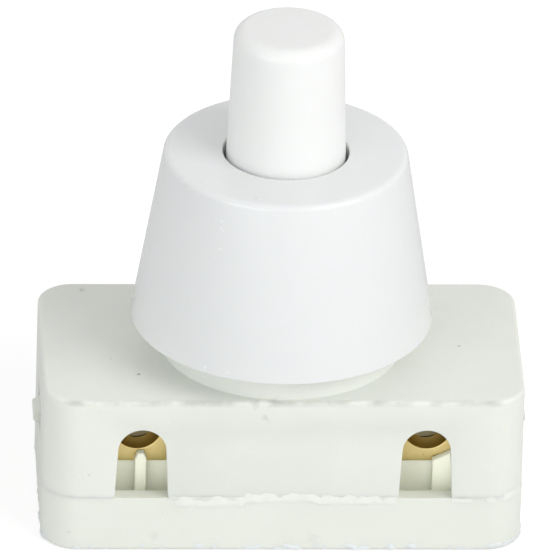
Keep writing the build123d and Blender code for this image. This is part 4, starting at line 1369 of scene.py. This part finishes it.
# %% Spin the button
BUTTON_RADIUS = 3.66 * MM
BUTTON_TOP_RADIUS = 3.37 * MM
BUTTON_ROUND = 0.8 * MM
BUTTON_BORE = 2.35 * MM
BUTTON_CORE = 1.4 * MM
BUTTON_ROOF = 2.2 * MM
SPRING_SEAT = 14.58 * MM
FLANGE_RADIUS = 5.0 * MM
FLANGE_FOOT = 9.98 * MM
FLANGE_TOP = 10.93 * MM

button = spin_profile("switch_button", [
    (0, button_top),
    (BUTTON_TOP_RADIUS, button_top),
    (BUTTON_RADIUS, nut_high.z),
    (BUTTON_RADIUS, FLANGE_TOP),
    (FLANGE_RADIUS, FLANGE_TOP),
    (FLANGE_RADIUS, FLANGE_FOOT),
    (BUTTON_BORE, FLANGE_FOOT),
    (BUTTON_BORE, SPRING_SEAT),
    (BUTTON_CORE, SPRING_SEAT),
    (BUTTON_CORE, button_top - BUTTON_ROOF),
    (0, button_top - BUTTON_ROOF),
], steps=160)
bevel_edges(button, nut_rim(BUTTON_TOP_RADIUS, button_top), BUTTON_ROUND, 10)
for side in (-1, 1):
    near, far = sorted((side * (BUTTON_RADIUS + OVERLAP), side * EAR_REACH))
    ear = start_box("ear", (-EAR_WIDTH / 2, near, FLANGE_FOOT), (EAR_WIDTH / 2, far, FLANGE_TOP))
    join(button, ear)
print("button turned:", triangles(button), "triangles")

# %% Ramps under the flange
RAMPS = 8
RAMP_STEPS = 8
RAMP_INNER = 2.7 * MM
RAMP_OUTER = 4.5 * MM
RAMP_RISE = 3.0 * MM
RAMP_START = math.radians(1.5)
ramp_stop = 2 * math.pi / RAMPS
ramp_tip = FLANGE_FOOT - RAMP_RISE

ramp = start_profile("ramp", [
    (RAMP_INNER, 0, ramp_tip),
    (RAMP_OUTER, 0, ramp_tip),
    (RAMP_OUTER, 0, FLANGE_FOOT + OVERLAP),
    (RAMP_INNER, 0, FLANGE_FOOT + OVERLAP),
])
bpy.ops.mesh.edge_face_add()
bpy.ops.mesh.spin(
    steps=RAMP_STEPS, angle=RAMP_START - ramp_stop, center=(0, 0, 0), axis=(0, 0, 1)
)
close_up(ramp)
ramp.data.transform(Matrix.Rotation(RAMP_START, 4, "Z"))
for step in range(RAMP_STEPS + 1):
    turned = RAMP_START + (ramp_stop - RAMP_START) * step / RAMP_STEPS
    at_foot = lambda start, end: (
        max(start.z, end.z) < ramp_tip + HAIR
        and abs(math.atan2(start.y, start.x) - turned) < 0.001
        and abs(math.atan2(end.y, end.x) - turned) < 0.001
    )
    choose_edges(ramp, at_foot)
    bpy.ops.transform.translate(value=(0, 0, RAMP_RISE * turned / ramp_stop))
    bpy.ops.object.mode_set(mode="OBJECT")
for turn in range(RAMPS):
    join(button, copy_piece(ramp, "ramp_copy", Matrix.Rotation(ramp_stop * turn, 4, "Z")))
bpy.data.objects.remove(ramp)
dress(button, button_plastic, "button", "button_plastic", "push_button")

# %% [markdown]
# ## The return spring
#
# The frame's spring already has its full form, but it is stiff, and a button that is pushed down would
# cut through it. The scene keeps a merged copy of its mesh in place of the frame's node.

# %% A merged copy of the spring
spring = bpy.data.objects.new("coil_spring", nodes["return_spring"].data.copy())
bpy.context.scene.collection.objects.link(spring)
activate(spring)
bpy.ops.object.mode_set(mode="EDIT")
close_up(spring)
dress(spring, spring_steel, "root", "spring_steel", "return_spring")
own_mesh(spring)

# %% [markdown]
# ## The other nodes
#
# The rest of the frame's nodes already have their full form and are out of sight. They keep their
# meshes and take the materials above.

# %% Give the frame's own nodes their materials
node_materials = {
    "ratchet_rotor": rotor_plastic,
    "spring_washer": plated_steel,
    "rotor_pin": plated_steel,
    "contact_bridge": contact_brass,
    "bridge_contacts": contact_silver,
}
for side_name in ("left", "right"):
    node_materials[f"fixed_contact_{side_name}"] = contact_brass
    node_materials[f"contact_rivet_{side_name}"] = contact_silver
for node_name, material in node_materials.items():
    for material_slot in nodes[node_name].material_slots:
        material_slot.material = material
print("nodes with their own mesh:", len(node_materials))

# %% [markdown]
# ## Floor, light and background
#
# The switch stands on a plain pale floor in an even, white light, a little stronger from the front
# right. The floor must look white to the camera without throwing more light on the switch, so it
# adds a little glow only for camera rays, and still darkens where the switch keeps the light away.



# %% The floor
def mix_shaders(tree, share, first, second):
    return wire(tree, "ShaderNodeMixShader", {
        0: share, 1: first.outputs[0], 2: second.outputs[0],
    })


FLOOR_SIZE = 3.0
FLOOR_GLOW = 0.7
deselect_everything()
bpy.ops.mesh.primitive_plane_add(size=FLOOR_SIZE, location=(0, 0, 0))
studio_floor = settle(bpy.context.object, "studio_floor")
floor_paint = bpy.data.materials.new("floor_paint")
floor_paint.use_nodes = True
floor_tree = floor_paint.node_tree
floor_tree.nodes.clear()
floor_matt = wire(floor_tree, "ShaderNodeBsdfDiffuse", {"Color": (0.42, 0.42, 0.42, 1)})
floor_glow = wire(floor_tree, "ShaderNodeEmission", {"Color": (1, 1, 1, 1), "Strength": FLOOR_GLOW})
floor_seen = wire(floor_tree, "ShaderNodeAddShader", {0: floor_matt.outputs[0], 1: floor_glow.outputs[0]})
floor_unseen = wire(floor_tree, "ShaderNodeBsdfDiffuse", {"Color": (0.8, 0.8, 0.8, 1)})
seen_above = mix_shaders(
    floor_tree, wire(floor_tree, "ShaderNodeLightPath").outputs["Is Camera Ray"],
    floor_unseen, floor_seen,
)
floor_sided = mix_shaders(
    floor_tree, wire(floor_tree, "ShaderNodeNewGeometry").outputs["Backfacing"],
    seen_above, wire(floor_tree, "ShaderNodeBsdfTransparent"),
)
wire(floor_tree, "ShaderNodeOutputMaterial", {"Surface": floor_sided.outputs[0]})
studio_floor.data.materials.append(floor_paint)
studio_floor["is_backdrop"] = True

# %% The world
ROOM_LIGHT = 0.6
world = bpy.data.worlds.new("studio_world")
bpy.context.scene.world = world
world.use_nodes = True
world_tree = world.node_tree
world_tree.nodes.clear()
room = wire(world_tree, "ShaderNodeBackground", {"Color": (1, 1, 1, 1), "Strength": ROOM_LIGHT})
backdrop = wire(world_tree, "ShaderNodeBackground", {"Color": (1, 1, 1, 1), "Strength": 1.0})
light_path = wire(world_tree, "ShaderNodeLightPath").outputs
seen_or_mirrored = maths(
    world_tree, "MAXIMUM", light_path["Is Camera Ray"], light_path["Is Glossy Ray"]
)
seen_at_all = maths(world_tree, "MAXIMUM", seen_or_mirrored, light_path["Is Transmission Ray"])
world_mix = mix_shaders(world_tree, seen_at_all, room, backdrop)
wire(world_tree, "ShaderNodeOutputWorld", {"Surface": world_mix.outputs[0]})


# %% The lamps
def start_lamp(name, shape, width, height, energy, color):
    data = bpy.data.lights.new(name, "AREA")
    data.shape = shape
    data.size = width
    data.size_y = height
    data.energy = energy
    data.color = color
    lamp = bpy.data.objects.new(name, data)
    bpy.context.scene.collection.objects.link(lamp)
    return lamp


def hang_lamp(name, azimuth, elevation, distance, size, power, color=(1, 1, 1)):
    """A square soft box that faces the switch."""
    lamp = start_lamp(name, "SQUARE", size, size, power, color)
    turn, rise = math.radians(azimuth), math.radians(elevation)
    way = Vector((
        math.sin(turn) * math.cos(rise), -math.cos(turn) * math.cos(rise), math.sin(rise)
    ))
    lamp.location = way * distance + Vector((0, 0, BODY_TOP))
    lamp.rotation_mode = "QUATERNION"
    lamp.rotation_quaternion = way.to_track_quat("Z", "Y")


hang_lamp("key_lamp", 50, 36, 0.6, 0.35, 1.5)
hang_lamp("fill_lamp", -36, 10, 0.7, 0.5, 1.3, (0.94, 0.98, 1.0))

# %% [markdown]
# The housing's walls are a millimetre thick and let some light through, so in the photograph the
# brass and the plastic behind the two entries are nearly as bright as the outside. Tracing that light
# through the walls would cost minutes. A sheet of light just behind each front wall, which the
# camera can't see, does the same. A faint round one at the far end of each bore keeps it from going
# black, and one under the nut's foot stands for the light that comes out of the nut.

# %% Light that comes in through the walls
WALL_GLOW = 0.75
NUT_GLOW = 0.17
BORE_GLOW = 0.33


def glow_sheet(name, shape, width, height, spot, turn, strength, color):
    """A sheet of light that the camera doesn't see. Its strength is a radiance."""
    area = width * height * (math.pi / 4 if shape == "ELLIPSE" else 1)
    lamp = start_lamp(name, shape, width, height, strength * math.pi * area, color)
    lamp.location = spot
    lamp.rotation_euler = turn
    lamp.visible_camera = False
    return lamp


for side in (-1, 1):
    wall_glow = glow_sheet(
        "wall_glow", "RECTANGLE", 5.4 * MM, 6.0 * MM,
        (side * SLOT_X, WALL - HALF_DEPTH + 0.1 * MM, 5.9 * MM), (math.pi / 2, 0, 0),
        WALL_GLOW, (1.0, 0.98, 0.82),
    )
    wall_glow.visible_glossy = False
    glow_sheet(
        "bore_glow", "ELLIPSE", 2.4 * MM, 2.4 * MM,
        (side * TERMINAL_X, block_high.y - 0.1 * MM, LEAD_HEIGHT), (-math.pi / 2, 0, 0),
        BORE_GLOW, (0.8, 0.9, 1.0),
    )
glow_sheet(
    "nut_glow", "ELLIPSE", 2 * NUT_FOOT_RADIUS, 2 * NUT_FOOT_RADIUS,
    (0, 0, nut_low.z - 0.01 * MM), (0, 0, 0), NUT_GLOW, (1.0, 1.0, 0.98),
)
bpy.context.scene.view_settings.view_transform = "Standard"

# %% [markdown]
# ## Both boxes
#
# The frame's box and the box of the looks are printed in millimetres. The looks must
# not grow past the frame's box.

# %% Print both boxes
visual_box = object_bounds()
for label, corners in (("frame", cad_box), ("visual", visual_box)):
    print(label, "box in mm:", [[round(value / MM, 2) for value in corner] for corner in corners])
